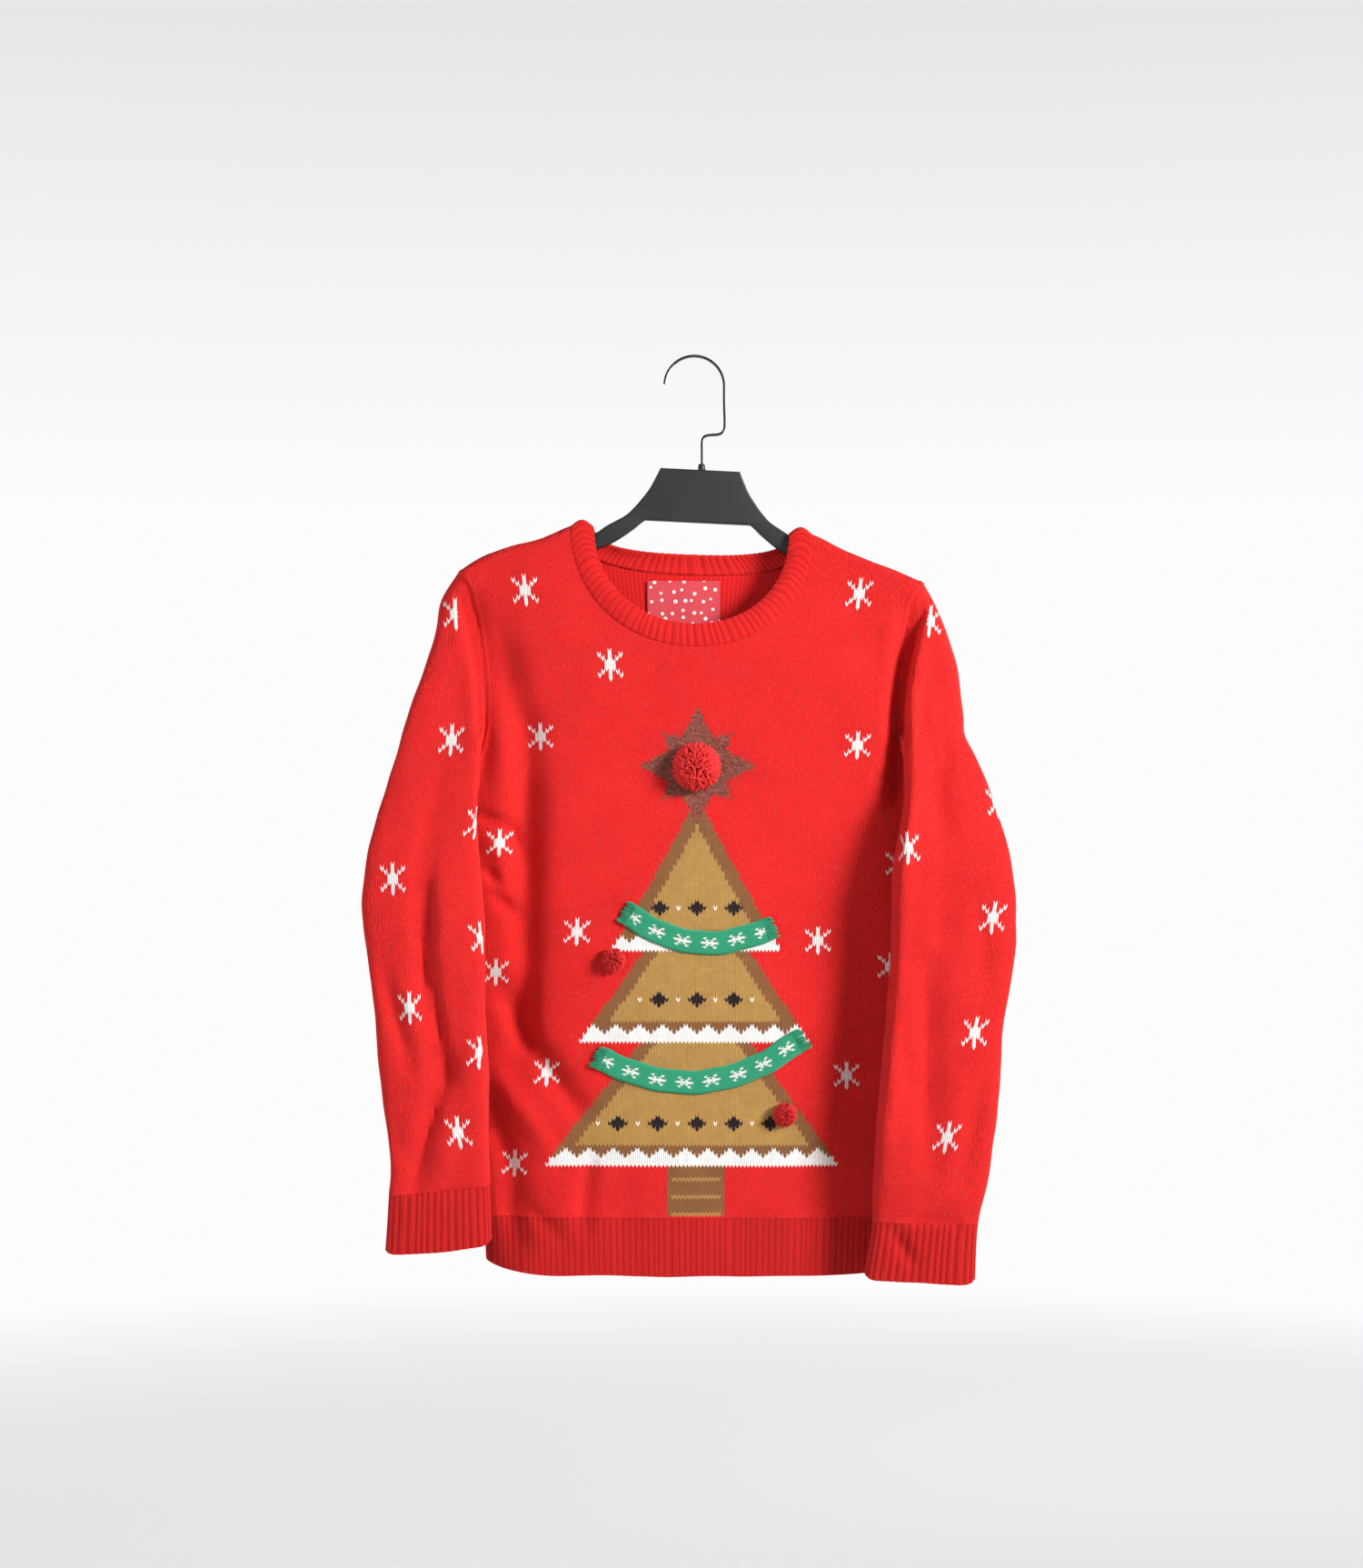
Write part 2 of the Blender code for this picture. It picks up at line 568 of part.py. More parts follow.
def depth_on(surface, x, z):
    """The depth of a grid's facets at x and z."""
    for face in grid_faces(*surface.shape[:2], False):
        corners = surface.reshape(-1, 3)[list(face)]
        for trio in (corners[[0, 1, 2]], corners[[0, 2, 3]]):
            side_a, side_b = trio[1] - trio[0], trio[2] - trio[0]
            area = side_a[0] * side_b[2] - side_a[2] * side_b[0]
            if abs(area) < 1e-12:
                continue
            to_x, to_z = x - trio[0, 0], z - trio[0, 2]
            share_a = (to_x * side_b[2] - to_z * side_b[0]) / area
            share_b = (side_a[0] * to_z - side_a[2] * to_x) / area
            if min(share_a, share_b) >= -1e-6 and share_a + share_b <= 1 + 1e-6:
                return trio[0, 1] + share_a * side_a[1] + share_b * side_b[1]
    raise ValueError(f"no facet at {x:.4f}, {z:.4f}")


# ---- Pieces ----
def add_cloth():
    """The knitted panels, sleeves, ribs and neckband. Returns the front's and back's surfaces."""
    half = np.array(ARMHOLE_PLACES + SIDE_PLACES + HEM_PLACES)
    places = np.concatenate([half, [3.0], 6 - half[::-1]])
    hem = places[(places >= 2) & (places <= 4)]
    fallen = np.array(ARMHOLE_PLACES + SIDE_PLACES[:1])
    round_it = np.concatenate([fallen, 2 - fallen[-2:0:-1]])
    sheets = {
        "front": (panel(FRONT, places, PANEL_ROWS), False),
        "back": (panel(BACK, places, PANEL_ROWS)[:, ::-1], False),
        "hem_rib": (np.array([hem_ring(hem, level)
                              for level in np.linspace(0, 1, HEM_ROWS + 1)]), True),
        "neckband": (neckband(places, NECKBAND_ROWS), True),
    }
    for side, word in ((LEFT, "left"), (RIGHT, "right")):
        sections = SLEEVE_SECTIONS[side][:, 0]
        levels = np.linspace(sections[-1], sections[1], SLEEVE_ROWS + 1)
        cuff_levels = np.linspace(sections[1], sections[0], CUFF_ROWS + 1)
        angle = sleeve_angle(round_it)
        rows = sleeve(side, round_it, CAP_STEPS, levels)
        cuff = np.array([sleeve_section(side, z, angle) for z in cuff_levels])
        if side == LEFT:  # rows upwards, so that the faces turn outwards
            rows, cuff = rows[::-1], cuff[::-1]
        sheets["sleeve_" + word] = (rows, True)
        sheets["cuff_" + word] = (cuff, True)
    normals = seam_normals(sheets)
    surfaces = {}
    for name, (points, closed) in sheets.items():
        ribbed = name.startswith(("cuff", "hem"))
        thick = NECKBAND_CLOTH if name == "neckband" else RIB_CLOTH if ribbed else CLOTH
        outer = drawn_back(points, closed)
        inner = drawn_back(points - normals[name] * thick, closed)
        slot = "red_rib" if ribbed or name == "neckband" else "red_knit"
        add_shell(name, outer, inner, closed, slot)
        surfaces[name] = (outer, inner)
    return surfaces


def laid_on(surface, x, z, face, gap, thick):
    """Outer and inner points of cloth that lies on a panel, over a grid of x and z."""
    under = np.vectorize(lambda a, b: depth_on(surface, a, b))(x, z)
    near = np.stack([x, under + face * gap, z], axis=-1)
    far = np.stack([x, under + face * (gap + thick), z], axis=-1)
    return far, near


def add_label(surfaces):
    """The neck label, on the inside of the back panel."""
    left, right, bottom, top = LABEL_BOX
    x, z = np.meshgrid(np.linspace(left, right, 7), np.linspace(bottom, top, 5))
    inside = surfaces["back"][1]
    far, near = laid_on(inside, x, z, FRONT, LAID_GAP, LABEL_CLOTH)
    add_shell("neck_label", far, near, False, "label_satin")


def add_garlands(surfaces):
    """Knitted ribbons laid over the front in swags."""
    outside = surfaces["front"][0]
    for name, route in GARLANDS.items():
        route = np.array(route)
        along = np.concatenate([[0], np.cumsum(np.hypot(*np.diff(route, axis=0).T))])
        steps = np.linspace(0, along[-1], 17)
        x, z = smooth(np.column_stack([along, route]), steps)
        run = np.gradient(np.stack([x, z]), axis=1)
        run /= np.hypot(*run)
        wide = np.linspace(-GARLAND_WIDE / 2, GARLAND_WIDE / 2, 4)[:, None]
        far, near = laid_on(outside, x - run[1] * wide, z + run[0] * wide, FRONT, LAID_GAP,
                            GARLAND_CLOTH)
        add_shell(name, far, near, False, "green_knit")


def add_pompoms(surfaces):
    """Balls of cut yarn on the front, flattened where they are sewn down."""
    outside = surfaces["front"][0]
    for name, (x, z, half, deep) in POMPOMS.items():
        ring = [(x + 0.45 * half * math.cos(a), z + 0.45 * half * math.sin(a))
                for a in np.linspace(0, 2 * math.pi, 13)]
        nearest = min(depth_on(outside, *place) for place in ring + [(x, z)])
        ball = bmesh.new()
        bmesh.ops.create_uvsphere(ball, u_segments=14, v_segments=8, radius=1.0)
        for vert in ball.verts:
            flat = 0.55 if vert.co.y > 0 else 1.0
            vert.co = (vert.co.x * half, vert.co.y * deep * flat, vert.co.z * half)
        seat = nearest - LAID_GAP - max(vert.co.y for vert in ball.verts)
        bmesh.ops.translate(ball, verts=ball.verts, vec=(x, seat, z))
        mesh = bpy.data.meshes.new(name)
        ball.to_mesh(mesh)
        ball.free()
        add_object(name, mesh, "red_yarn")


def hanger_place(across, height):
    """x and z of a point given in the hanger's own leaning frame."""
    lean_x, lean_z = math.cos(HANGER_LEAN), math.sin(HANGER_LEAN)
    return (HANGER_TOP[0] + across * lean_x + height * lean_z,
            HANGER_TOP[1] - across * lean_z + height * lean_x)


def arm_outline(side):
    """One side of the hanger, from the block's top along the arm to the block's lower edge."""
    upper = [hanger_place(side * half, height) for half, height in HANGER_UPPER]
    rest = CLOTH + ARM_REST_GAP
    upper += [(side * x, float(shoulder_height(side * x)) - rest) for x in ARM_STATIONS]
    tip_x, tip_z = upper[-1]
    end_x = side * ARM_END
    lower = [(end_x, tip_z - 0.35 * ARM_DEEP), (end_x, tip_z - 0.75 * ARM_DEEP),
             (tip_x - side * 0.001, tip_z - 0.95 * ARM_DEEP)]
    lower += [(side * x, float(shoulder_height(side * x)) - rest - ARM_DEEP)
              for x in ARM_STATIONS[-2::-1]]
    lower += [hanger_place(side * half, height) for half, height in HANGER_LOWER[::-1]]
    return upper + lower


def add_hanger():
    outline = arm_outline(RIGHT) + arm_outline(LEFT)[::-1]
    add_prism("hanger", outline, HANGER_THICK, HANGER_EDGE, "charcoal_plastic")


def hook_route():
    """The middle line of the hook's strip, from the nub to the free end."""
    radius = HOOK_RADIUS + HOOK_THICK / 2
    middle_z = -HOOK_RADIUS
    block_z = hanger_place(0, 0)[1]
    low, high = HOOK_BEND_Z
    shank_x = HOOK_MIDDLE_X + radius
    route = [(HOOK_STEM_X, block_z + NUB_HIGH - 0.001), (HOOK_STEM_X, low - 0.006),
             (HOOK_STEM_X + 0.0014, low - 0.0016), (HOOK_STEM_X + 0.0055, low + 0.0004),
             (shank_x - 0.0046, low + 0.0012), (shank_x - 0.0006, low + 0.0040),
             (shank_x + 0.0005, high + 0.0030)]
    turn = np.radians(np.linspace(HOOK_TURN[0] + 38, HOOK_TURN[1], 19))
    route += [(shank_x, middle_z - 0.014)]
    route += [(HOOK_MIDDLE_X + radius * math.cos(a), middle_z + radius * math.sin(a)) for a in turn]
    return np.array(route)


def add_hook():
    """A flat strip bent into a hook, with the round nub that holds it in the block."""
    route = hook_route()
    run = np.gradient(route, axis=0)
    run /= np.linalg.norm(run, axis=1, keepdims=True)
    aside = np.column_stack([-run[:, 1], run[:, 0]]) * HOOK_THICK / 2
    outer = np.array([[(x, y, z) for x, z in route + aside]
                      for y in (-HOOK_WIDE / 2, HOOK_WIDE / 2)])
    inner = np.array([[(x, y, z) for x, z in route - aside]
                      for y in (-HOOK_WIDE / 2, HOOK_WIDE / 2)])
    strip = add_shell("hanger_hook", outer, inner, False, "black_metal")
    nub = bmesh.new()
    bmesh.ops.create_cone(nub, cap_ends=True, segments=20, radius1=NUB_RADIUS,
                          radius2=NUB_RADIUS * 0.86, depth=NUB_HIGH)
    place = hanger_place((HOOK_STEM_X - HANGER_TOP[0]), 0)[1] + SEAM_GAP + NUB_HIGH / 2 + 0.0002
    bmesh.ops.translate(nub, verts=nub.verts, vec=(HOOK_STEM_X, 0, place))
    mesh = bpy.data.meshes.new("hook_nub")
    nub.to_mesh(mesh)
    nub.free()
    collar = add_object("hook_nub", mesh, "black_metal")
    collar.hide_render = True
    collar.display_type = "WIRE"
    joined = strip.modifiers.new("nub", "BOOLEAN")
    joined.operation = "UNION"
    joined.object = collar


def make_material(name, colour, roughness, metallic):
    material = bpy.data.materials.new(name)
    material.use_nodes = True
    shader = material.node_tree.nodes["Principled BSDF"]
    shader.inputs["Base Color"].default_value = (*colour, 1)
    shader.inputs["Roughness"].default_value = roughness
    shader.inputs["Metallic"].default_value = metallic
    return material


for old in list(bpy.data.objects):
    bpy.data.objects.remove(old)
materials = {name: make_material(name, *values) for name, values in MATERIALS.items()}
cloth_surfaces = add_cloth()
add_label(cloth_surfaces)
add_garlands(cloth_surfaces)
add_pompoms(cloth_surfaces)
add_hanger()
add_hook()
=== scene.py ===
"""The knitted Christmas jumper on its hanger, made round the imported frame.

Metres, +Z up. The front faces -Y and left is -X. The cloth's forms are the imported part's own, on
finer grids, with fuller folds, real ribs and a knitted surface counted in stitches.
"""

import math
import random
from functools import partialmethod

import bmesh
import bpy
import numpy as np
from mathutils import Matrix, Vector, noise


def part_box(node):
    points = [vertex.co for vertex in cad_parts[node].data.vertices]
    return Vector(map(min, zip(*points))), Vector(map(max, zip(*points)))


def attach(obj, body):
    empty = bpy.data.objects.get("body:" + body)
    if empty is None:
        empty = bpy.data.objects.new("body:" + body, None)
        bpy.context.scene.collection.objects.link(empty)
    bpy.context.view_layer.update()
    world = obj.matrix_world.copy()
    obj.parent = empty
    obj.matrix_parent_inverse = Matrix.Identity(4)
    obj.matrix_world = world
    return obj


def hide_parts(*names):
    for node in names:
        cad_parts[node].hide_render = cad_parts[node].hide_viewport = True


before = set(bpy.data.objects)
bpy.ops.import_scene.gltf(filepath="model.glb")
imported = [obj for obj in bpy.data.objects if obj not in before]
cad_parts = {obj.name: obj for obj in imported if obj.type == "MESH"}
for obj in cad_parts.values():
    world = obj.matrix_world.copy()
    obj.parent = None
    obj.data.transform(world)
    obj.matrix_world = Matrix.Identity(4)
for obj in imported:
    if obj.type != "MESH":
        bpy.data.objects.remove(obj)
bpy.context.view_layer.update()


def metres(rows, plain=()):
    """A table in millimetres as an array in metres. The columns in plain stay as they are."""
    table = np.array(rows, float)
    unit = np.full(table.shape[1], 1000.0)
    unit[list(plain)] = 1.0
    return table / unit


# ---- Cloth ----
CLOTH = 0.0020
RIB_CLOTH = 0.0030
NECKBAND_CLOTH = 0.0032
LEFT, RIGHT = -1, 1
FRONT, BACK = -1, 1

# ---- Body ----
HEM_SEAM_Z = -0.732
HEM_Z = -0.7820
HEM_CORNER_RISE, HEM_CORNER = 0.012, 7
CUFF_CORNER_RISE, CUFF_CORNER = 0.0050, 8
SEAM_RIDGE_AT, SEAM_RIDGE_WIDE, SEAM_RIDGE_HIGH = 0.0028, 0.0016, 0.0009
TIP_Z = {LEFT: -0.1850, RIGHT: -0.1930}
UNDERARM = 0.625
SHOULDER_DEPTH = 0.0125
SHOULDER_ROUND, SHOULDER_SQUARE = 0.009, 2.6
SHOULDER_FADE = 0.110

# Columns: height, half width, middle, depth of the side seam, front depth, back depth and the
# width over which the front and the back round off into the side seam.
BODY_SECTIONS = metres([
    (-782, 184.5, 9, 4, 21, 12, 50),
    (-732, 187, 9, 4, 23, 12, 60),
    (-620, 198, 6.5, 6, 29, 11, 85),
    (-500, 211, 3, 6, 32, 11, 90),
    (-390, 218.5, 1, 4, 31, 12, 85),
    (-320, 213, 0, 2, 28, 13, 60),
    (-250, 206, -0.5, 0, 22, 13, 30),
    (-185, 199, -1, 0, 14, 12, 12),
])
# Columns: x, height.
SHOULDER = {
    LEFT: metres([
        (-200, -185), (-190, -178.2), (-176, -170.2),
        (-155, -161.8), (-129, -155.2), (-103.4, -144.1),
    ]),
    RIGHT: metres([
        (103.4, -151.3), (121.3, -159.8), (146.8, -171.2),
        (172.5, -181.2), (188, -188), (198, -193),
    ]),
}
# Columns: share of the drop to the underarm, inset of the front, inset of the back.
ARMHOLE = metres([
    (0, 0, 0), (0.05, 9.5, 7), (0.15, 17.5, 13),
    (0.3, 26.5, 19), (0.5, 34.5, 24), (0.66, 37, 23.5),
    (0.8, 31, 16.5), (0.91, 18, 8), (1, 0, 0),
], plain=(0,))

# ---- Neck ----
NECK_Z = -0.1477
NECK_TILT = 0.035
NECK_HALF = 0.1034
NECK_DROP = {FRONT: 0.1005, BACK: 0.0380}
NECK_SQUARE = {FRONT: 2.10, BACK: 2.50}
# Columns: place on the rim, degrees round the neckline, share of the bend, in and up.
COLUMN_FAN = metres([
    (0, 0, 0, 40, 5), (0.1, 11, 0.5, 40, 5),
    (0.3, 24, 1, 40, 4), (0.7, 36, 1, 34, 8),
    (0.9, 44, 1, 40, -4), (1, 49, 1, 46, -12),
    (1.5, 60, 1, 70, 6), (2, 69, 1, 56, 56),
    (2.3, 76, 1, 20, 100), (3, 90, 1, 0, 150),
], plain=(0, 1, 2))
INNER_NECK_HALF = 0.0840
INNER_NECK_DROP = {FRONT: 0.0820, BACK: 0.0215}
INNER_NECK_Z = -0.1470
INNER_NECK_LEAN = 0.92
NECKBAND_CROWN = 0.0058
NECKBAND_BULGE = 0.0016

# ---- Sleeves ----
# Columns: height of the middle, outer x, inner x, depth of the middle, front depth, rear depth,
# slope from the outer to the inner edge.
SLEEVE_SECTIONS = {
    LEFT: metres([
        (-756, -257.5, -168, -31, 18, 12, 0.1),
        (-704.5, -254, -169.4, -33, 23, 15, 0.1),
        (-678, -252.6, -170, -34, 25.5, 16.5, 0.09),
        (-645, -256.4, -171, -34, 27, 17.5, 0.07),
        (-599, -261, -171.7, -35, 29, 18.5, 0.04),
        (-543, -267.2, -173.3, -35, 30, 19, 0.02),
        (-505, -272.6, -174, -35, 31, 20, 0),
        (-470, -275.7, -174.8, -35, 31, 20, 0),
        (-423, -271, -177.9, -34, 31, 19.5, 0),
    ], plain=(6,)),
    RIGHT: metres([
        (-782, 238, 145, -32, 19, 12, 0.04),
        (-731, 240.2, 152, -34, 24, 15, 0.02),
        (-684, 250, 153, -35, 26.5, 17, 0),
        (-649, 254, 154, -36, 28, 18, 0),
        (-600, 258.7, 159.5, -36, 29, 18.5, 0),
        (-560.6, 262.6, 163.5, -36, 30, 19, 0),
        (-515, 269.5, 167, -36, 31, 20, 0),
        (-468, 271.6, 168.5, -36, 31, 20, 0),
        (-423, 266.4, 170.5, -35, 31, 19.5, 0),
    ], plain=(6,)),
}
# Columns: share of the drop, distance out.
SLEEVE_OUTER = {
    LEFT: metres([
        (0, 200), (0.09, 213.3), (0.19, 217.5), (0.43, 235.6),
        (0.62, 248.7), (0.8, 261.8), (1, 271),
    ], plain=(0,)),
    RIGHT: metres([
        (0, 198), (0.08, 209), (0.18, 217.6), (0.38, 229), (0.5, 231.2),
        (0.56, 231.6), (0.63, 239.2), (0.75, 251.2), (0.87, 260.8), (1, 266.4),
    ], plain=(0,)),
}
# Columns: place round the armhole, then the lead out, forward and down.
SLEEVE_LEAD = metres([
    (0, 30, 2, 100), (0.25, 24, 12, 70), (0.47, 20, 23, 50),
    (0.76, 0, 33, 38), (0.9, 0, 16, -21.5), (1, 14.5, 15, -11.5),
    (1.06, 37, -7.5, 16), (1.14, 32, -0.5, 32), (1.53, 31, -2, 49),
    (1.8, 34, -2, 75), (2, 30, 2, 100),
], plain=(0,))
UNDERARM_ANGLE = math.radians(265)
SLEEVE_SQUARE = 2.3  # how square its sections are at the rear
SLEEVE_FLAT = (3.0, 8.0)  # and at the front, across them and in depth
JOINT_ROUNDS, JOINT_ROWS = 30, 12  # how often, and how many rows, the joint is smoothed over

# ---- Folds ----
# Columns: from x, z, to x, z, width, depth (below 0 is a ridge).
FRONT_FOLDS = metres([
    # the crease down the left of the chest
    (-180, -205, -168, -300, 36, 9.5),
    (-166, -235, -142, -325, 14, 9.5),
    (-138.5, -315, -140.5, -500, 15, 16),
    (-140.5, -490, -145, -600, 12, 10),
    (-176, -500, -166, -640, 40, 12),
    # the diagonals at the left of the waist
    (-164, -535, -138, -584, 11, 8.5),
    (-138, -584, -92, -645, 10.5, 9),
    (-171, -603, -121, -676, 10, -7),
    (-174, -632, -150, -704, 10.5, 9.5),
    (-160, -700, -150, -748, 12, 10),
    (-86, -680, -92, -742, 8, 6),
    (-146, -716, -110, -752, 8, 3.5),
    # the hollow beside the right sleeve
    (155, -440, 152, -580, 30, 2),
    (150, -500, 148, -745, 36, 9.5),
    # puckers under the left arm
    (-182, -392, -154, -400, 5.5, 8.5),
    (-154, -400, -147, -420, 5.5, 6),
    (-176, -414, -156, -426, 7, -4),
    (-176, -437, -164, -447, 6, 7.5),
    (-168, -460, -150, -474, 6, 7),
    # soft waves
    (148, -240, 166, -300, 14, 2),
    (-80, -210, -120, -300, 18, 1.4),
    (-60, -680, -52, -760, 14, 1.6),
    (30, -690, 40, -770, 14, 1.4),
    (80, -690, 84, -765, 14, -1.4),
    (-10, -270, 10, -330, 40, 1),
])
BACK_FOLDS = metres([
    (-120, -330, -138, -500, 24, 4),
    (118, -350, 140, -560, 26, 4.5),
    (20, -480, 34, -690, 30, -4),
    # the finer ones
    (-150, -330, -110, -420, 10, -1.8),
    (156, -340, 110, -440, 10, -1.8),
    (-80, -560, -100, -720, 16, 2.2),
    (90, -600, 104, -720, 14, 2),
    (-30, -240, -50, -360, 20, 1.4),
])
SLEEVE_FOLDS = {
    LEFT: metres([
        (-223, -430, -221, -530, 8.5, 14.5),
        (-221, -520, -206, -610, 8.5, 12.5),
        (-205, -600, -231, -700, 9, 13),
        (-256, -520, -235, -600, 7.5, 7),
        (-198, -540, -195, -690, 12, 5),
        (-262, -430, -244, -452, 7, 2.2),
        (-205, -340, -222, -410, 10, 3),
        (-184, -470, -206, -500, 7, 2),
        (-250, -650, -232, -690, 8, 2.8),
        # the sleeve sags over its cuff
        (-215, -706, -180, -701.5, 3.2, 2.8),
    ]),
    RIGHT: metres([
        (177, -380, 170, -520, 11, -5.5),
        (170, -520, 158, -690, 11, -5.5),
        (197, -520, 198, -685, 10.5, 7.5),
        (214, -400, 206, -520, 11, 3),
        (215, -300, 207, -400, 8, 4),
        (190, -300, 210, -400, 9, 2),
        (236, -440, 246, -560, 10, 2.4),
        (176, -570, 186, -640, 8, 2.4),
        (240, -610, 226, -700, 9, 3.2),
        (168, -738, 186, -766, 6, 4.5),
        # the sleeve sags over its cuff
        (180, -728.5, 222, -730, 3.4, 3.5),
    ]),
}

# The valley that the body and each sleeve share along the armhole seam.
VALLEY_WIDE = {LEFT: 0.0095, RIGHT: 0.0078}
VALLEY_DEEP = {LEFT: 0.0070, RIGHT: 0.0185}
# Columns: height, share of the depth.
VALLEY_RUN = {
    LEFT: metres(((-385, 0), (-335, 1), (-215, 1), (-190, 0)), plain=(1,)),
    RIGHT: metres(((-396, 0), (-348, 1), (-262, 1), (-238, 0.62), (-200, 0)), plain=(1,)),
}
VALLEY_END = 0.62  # the place on the armhole where the sleeve's fold covers the seam
VALLEY_FOOT_Z, VALLEY_LEAD = -0.46, 0.10  # from there it goes over to the sleeve's inner edge
CREST_AT, CREST_WIDE = 0.003, 0.006  # the crest of the sleeve's fold, past the step
# The strip of the sleeve beside the seam at its top and foot, the step up to the sleeve's fold
# and that fold's crest.
VALLEY_STRIP = {LEFT: (0.0095, 0.0050, 0.0050, 0.0016), RIGHT: (0.0110, 0.0040, 0.0042, 0.0030)}

# ---- Stitches ----
WALE = 0.0031  # a stitch's width on the body
COURSE = 0.0025  # and its height
TOP_COURSE = 0.0029  # which the arms of the hanger stretch above TOP_Z
TOP_Z = -0.305
LEG_RISE = 1.1  # rows that a stitch's legs climb from its middle to its edge
LEAN_FROM_Z = -0.42  # above here the wales lean in to the neck
SHOULDER_LEAN, SHOULDER_LEAN_WIDE = 0.30, 0.06
LEFT_LEAN, LEFT_LEAN_WIDE = 0.035, 0.1  # the front's left half leans all the way down too
SLEEVE_WALE = 0.0030
SLEEVE_WALES = {LEFT: (-0.205, -0.050), RIGHT: (0.205, 0.110)}  # where they run, and their slant
SLEEVE_WALES_Z = -0.45  # the height where they run there
SLEEVE_SPREAD = 1.05  # a sleeve is a little wider round than it looks
SLEEVE_COURSE = 0.0029
CAP_DEPTH = ((-0.42, -0.30), (1.0, 0.3))  # up the cap, depth counts less in the stitches
HEM_RIBS, CUFF_RIBS, NECK_RIBS = 144, 38, 102
RIB_FINE, CUFF_FINE = 8, 10  # columns of the mesh for each rib
HEM_HIGH, CUFF_HIGH = 0.050, 0.051
HEM_RIB_DEEP, RIB_DEEP, NECK_RIB_DEEP = 0.00015, 0.0006, 0.00040
NECK_RIB_LEAN = 0.6  # ribs that the neckband's columns lean from seam to seam
# Waves of a rib's width. Columns: waves for each rib, their size in ribs.
RIB_WAVES = ((0.12, 0.14), (0.20, 0.10), (0.285, 0.06))

# ---- Unevenness ----
# Columns: length of the waves, their height, the noise's seed.
BODY_UNREST = ((0.075, 0.0016, 3.0), (0.028, 0.0007, 9.0))
SLEEVE_UNREST = ((0.060, 0.0020, 17.0), (0.024, 0.0008, 31.0))
HEM_UNREST = ((0.045, 0.0016, 5.0),)
CUFF_UNREST = ((0.03, 0.0017, 41.0),)

# Snowflakes, by where their middles lie seen from the front. Columns: x, height and the side
# of the middle that is knitted (0 is both).
BODY_FLAKES = metres((
    (-140.4, -199.4, 0), (-67.2, -264.9, 0), (-129.5, -325.4, 0), (144, -203.3, 0),
    (139.4, -334.2, 0), (-163.2, -415.5, 0), (-98.6, -491.3, 0),
    (-165.9, -524.4, 0), (107, -498.6, 0), (-121.7, -611.4, 0), (130.9, -612.9, 0),
    (-150.6, -688.4, 0), (167.2, -519.8, 0), (177.5, -432, -1),
), plain=(2,))
SLEEVE_FLAKES = {
    LEFT: metres(((-200, -221, -1), (-204.8, -328.8, 0), (-248.7, -443.8, 0),
                  (-234.3, -553.6, 0), (-192.8, -657.6, 0), (-175.5, -495.1, -1),
                  (-174.7, -588, -1), (-177.5, -397.3, -1)), plain=(2,)),
    RIGHT: metres(((201, -227.9, 1), (180, -418, 0), (255.5, -384.2, 0), (251.2, -478, 0),
                   (235, -572, 0), (208.8, -661.4, 0)), plain=(2,)),
}
REAR_SLEEVE_FLAKES = {
    LEFT: metres(((-225, -370, 0), (-230, -510, 0), (-215, -620, 0)), plain=(2,)),
    RIGHT: metres(((220, -350, 0), (225, -470, 0), (212, -600, 0)), plain=(2,)),
}

# ---- Hanger ----
HANGER_TOP = (0.0075, -0.0966)
HANGER_LEAN = math.radians(2.8)
HANGER_THICK = 0.010
HANGER_ROUND = 0.0015
ARM_REST_GAP = 0.0018
ARM_DEEP = 0.0142
ARM_STATIONS = (0.128, 0.142, 0.158, 0.172, 0.180)
ARM_END = 0.184
# The block's edges. Columns: out from its middle, up from its top.
HANGER_UPPER = metres([(33.9, 0), (38.8, -10.8), (43, -19), (49.8, -28.6), (56, -36.2),
                       (62.6, -42.4), (76.5, -50.8), (92.5, -60.6)])
HANGER_LOWER = metres([(45, -45), (49.5, -48.6), (55, -53.6), (69.4, -64.2), (87, -73),
                       (100, -77.6)])
HOOK_WIDE = 0.0060
HOOK_THICK = 0.0018
HOOK_ROUND = 0.00035
HOOK_RADIUS = 0.0246
HOOK_MIDDLE_X = 0.0023
HOOK_STEM_X = 0.0088
HOOK_BEND_Z = (-0.0672, -0.0600)
HOOK_END = 176.0  # degrees
NUB_RADIUS = 0.003196
NUB_HIGH = 0.0050
NUB_SIDES = 28
# Columns: share of the radius, share of the height.
NUB_PROFILE = ((1.0, 0.0), (1.06, 0.12), (1.0, 0.24), (0.96, 0.6), (0.90, 0.86), (0.72, 1.0))

# ---- Applied pieces ----
LABEL_BOX = (-0.0377, 0.0246, -0.2280, -0.1905)
LABEL_CLOTH = 0.0006
LABEL_DOTS = 0.0088  # from one dot to the next
LABEL_SIDE_CURL, LABEL_FOOT_CURL, LABEL_RIPPLE = 0.0004, 0.0016, 0.0002
LAID_GAP = 0.0005
GARLAND_CLOTH = 0.0022
GARLAND_WIDE = 0.0210
GARLAND_WALES = 11
GARLAND_COURSE = 0.0021
GARLAND_SWAY, GARLAND_LIFT = 0.0004, 0.0006
GARLANDS = {
    "garland_upper": metres(((-60, -470), (-24, -491.5), (16, -499), (56, -490.5), (72, -484))),
    "garland_lower": metres(((-84, -593), (-50, -608.5), (0, -617), (50, -606), (98, -577))),
}
FRINGE = 0.0105  # the length that the ribbon leaves to it at each end
FRINGE_PAIRS = 9
FRINGE_SWING = 0.0016
FRINGE_SAG = 0.0012
FRINGE_LIFT = 0.0011
FRINGE_YARN = 0.00085 * np.array([0.7, 1, 1, 1.05, 1.1, 1.15, 0.75])  # thickness along a strand
POMPOM_HALF = {"pompom_star": 0.0215, "pompom_left": 0.0110, "pompom_right": 0.0110}
POMPOM_STRANDS = 1150  # in the largest one, all round
POMPOM_YARN = 0.050 * np.array([0.8, 1.0, 1.15, 1.0])  # the same, in half widths
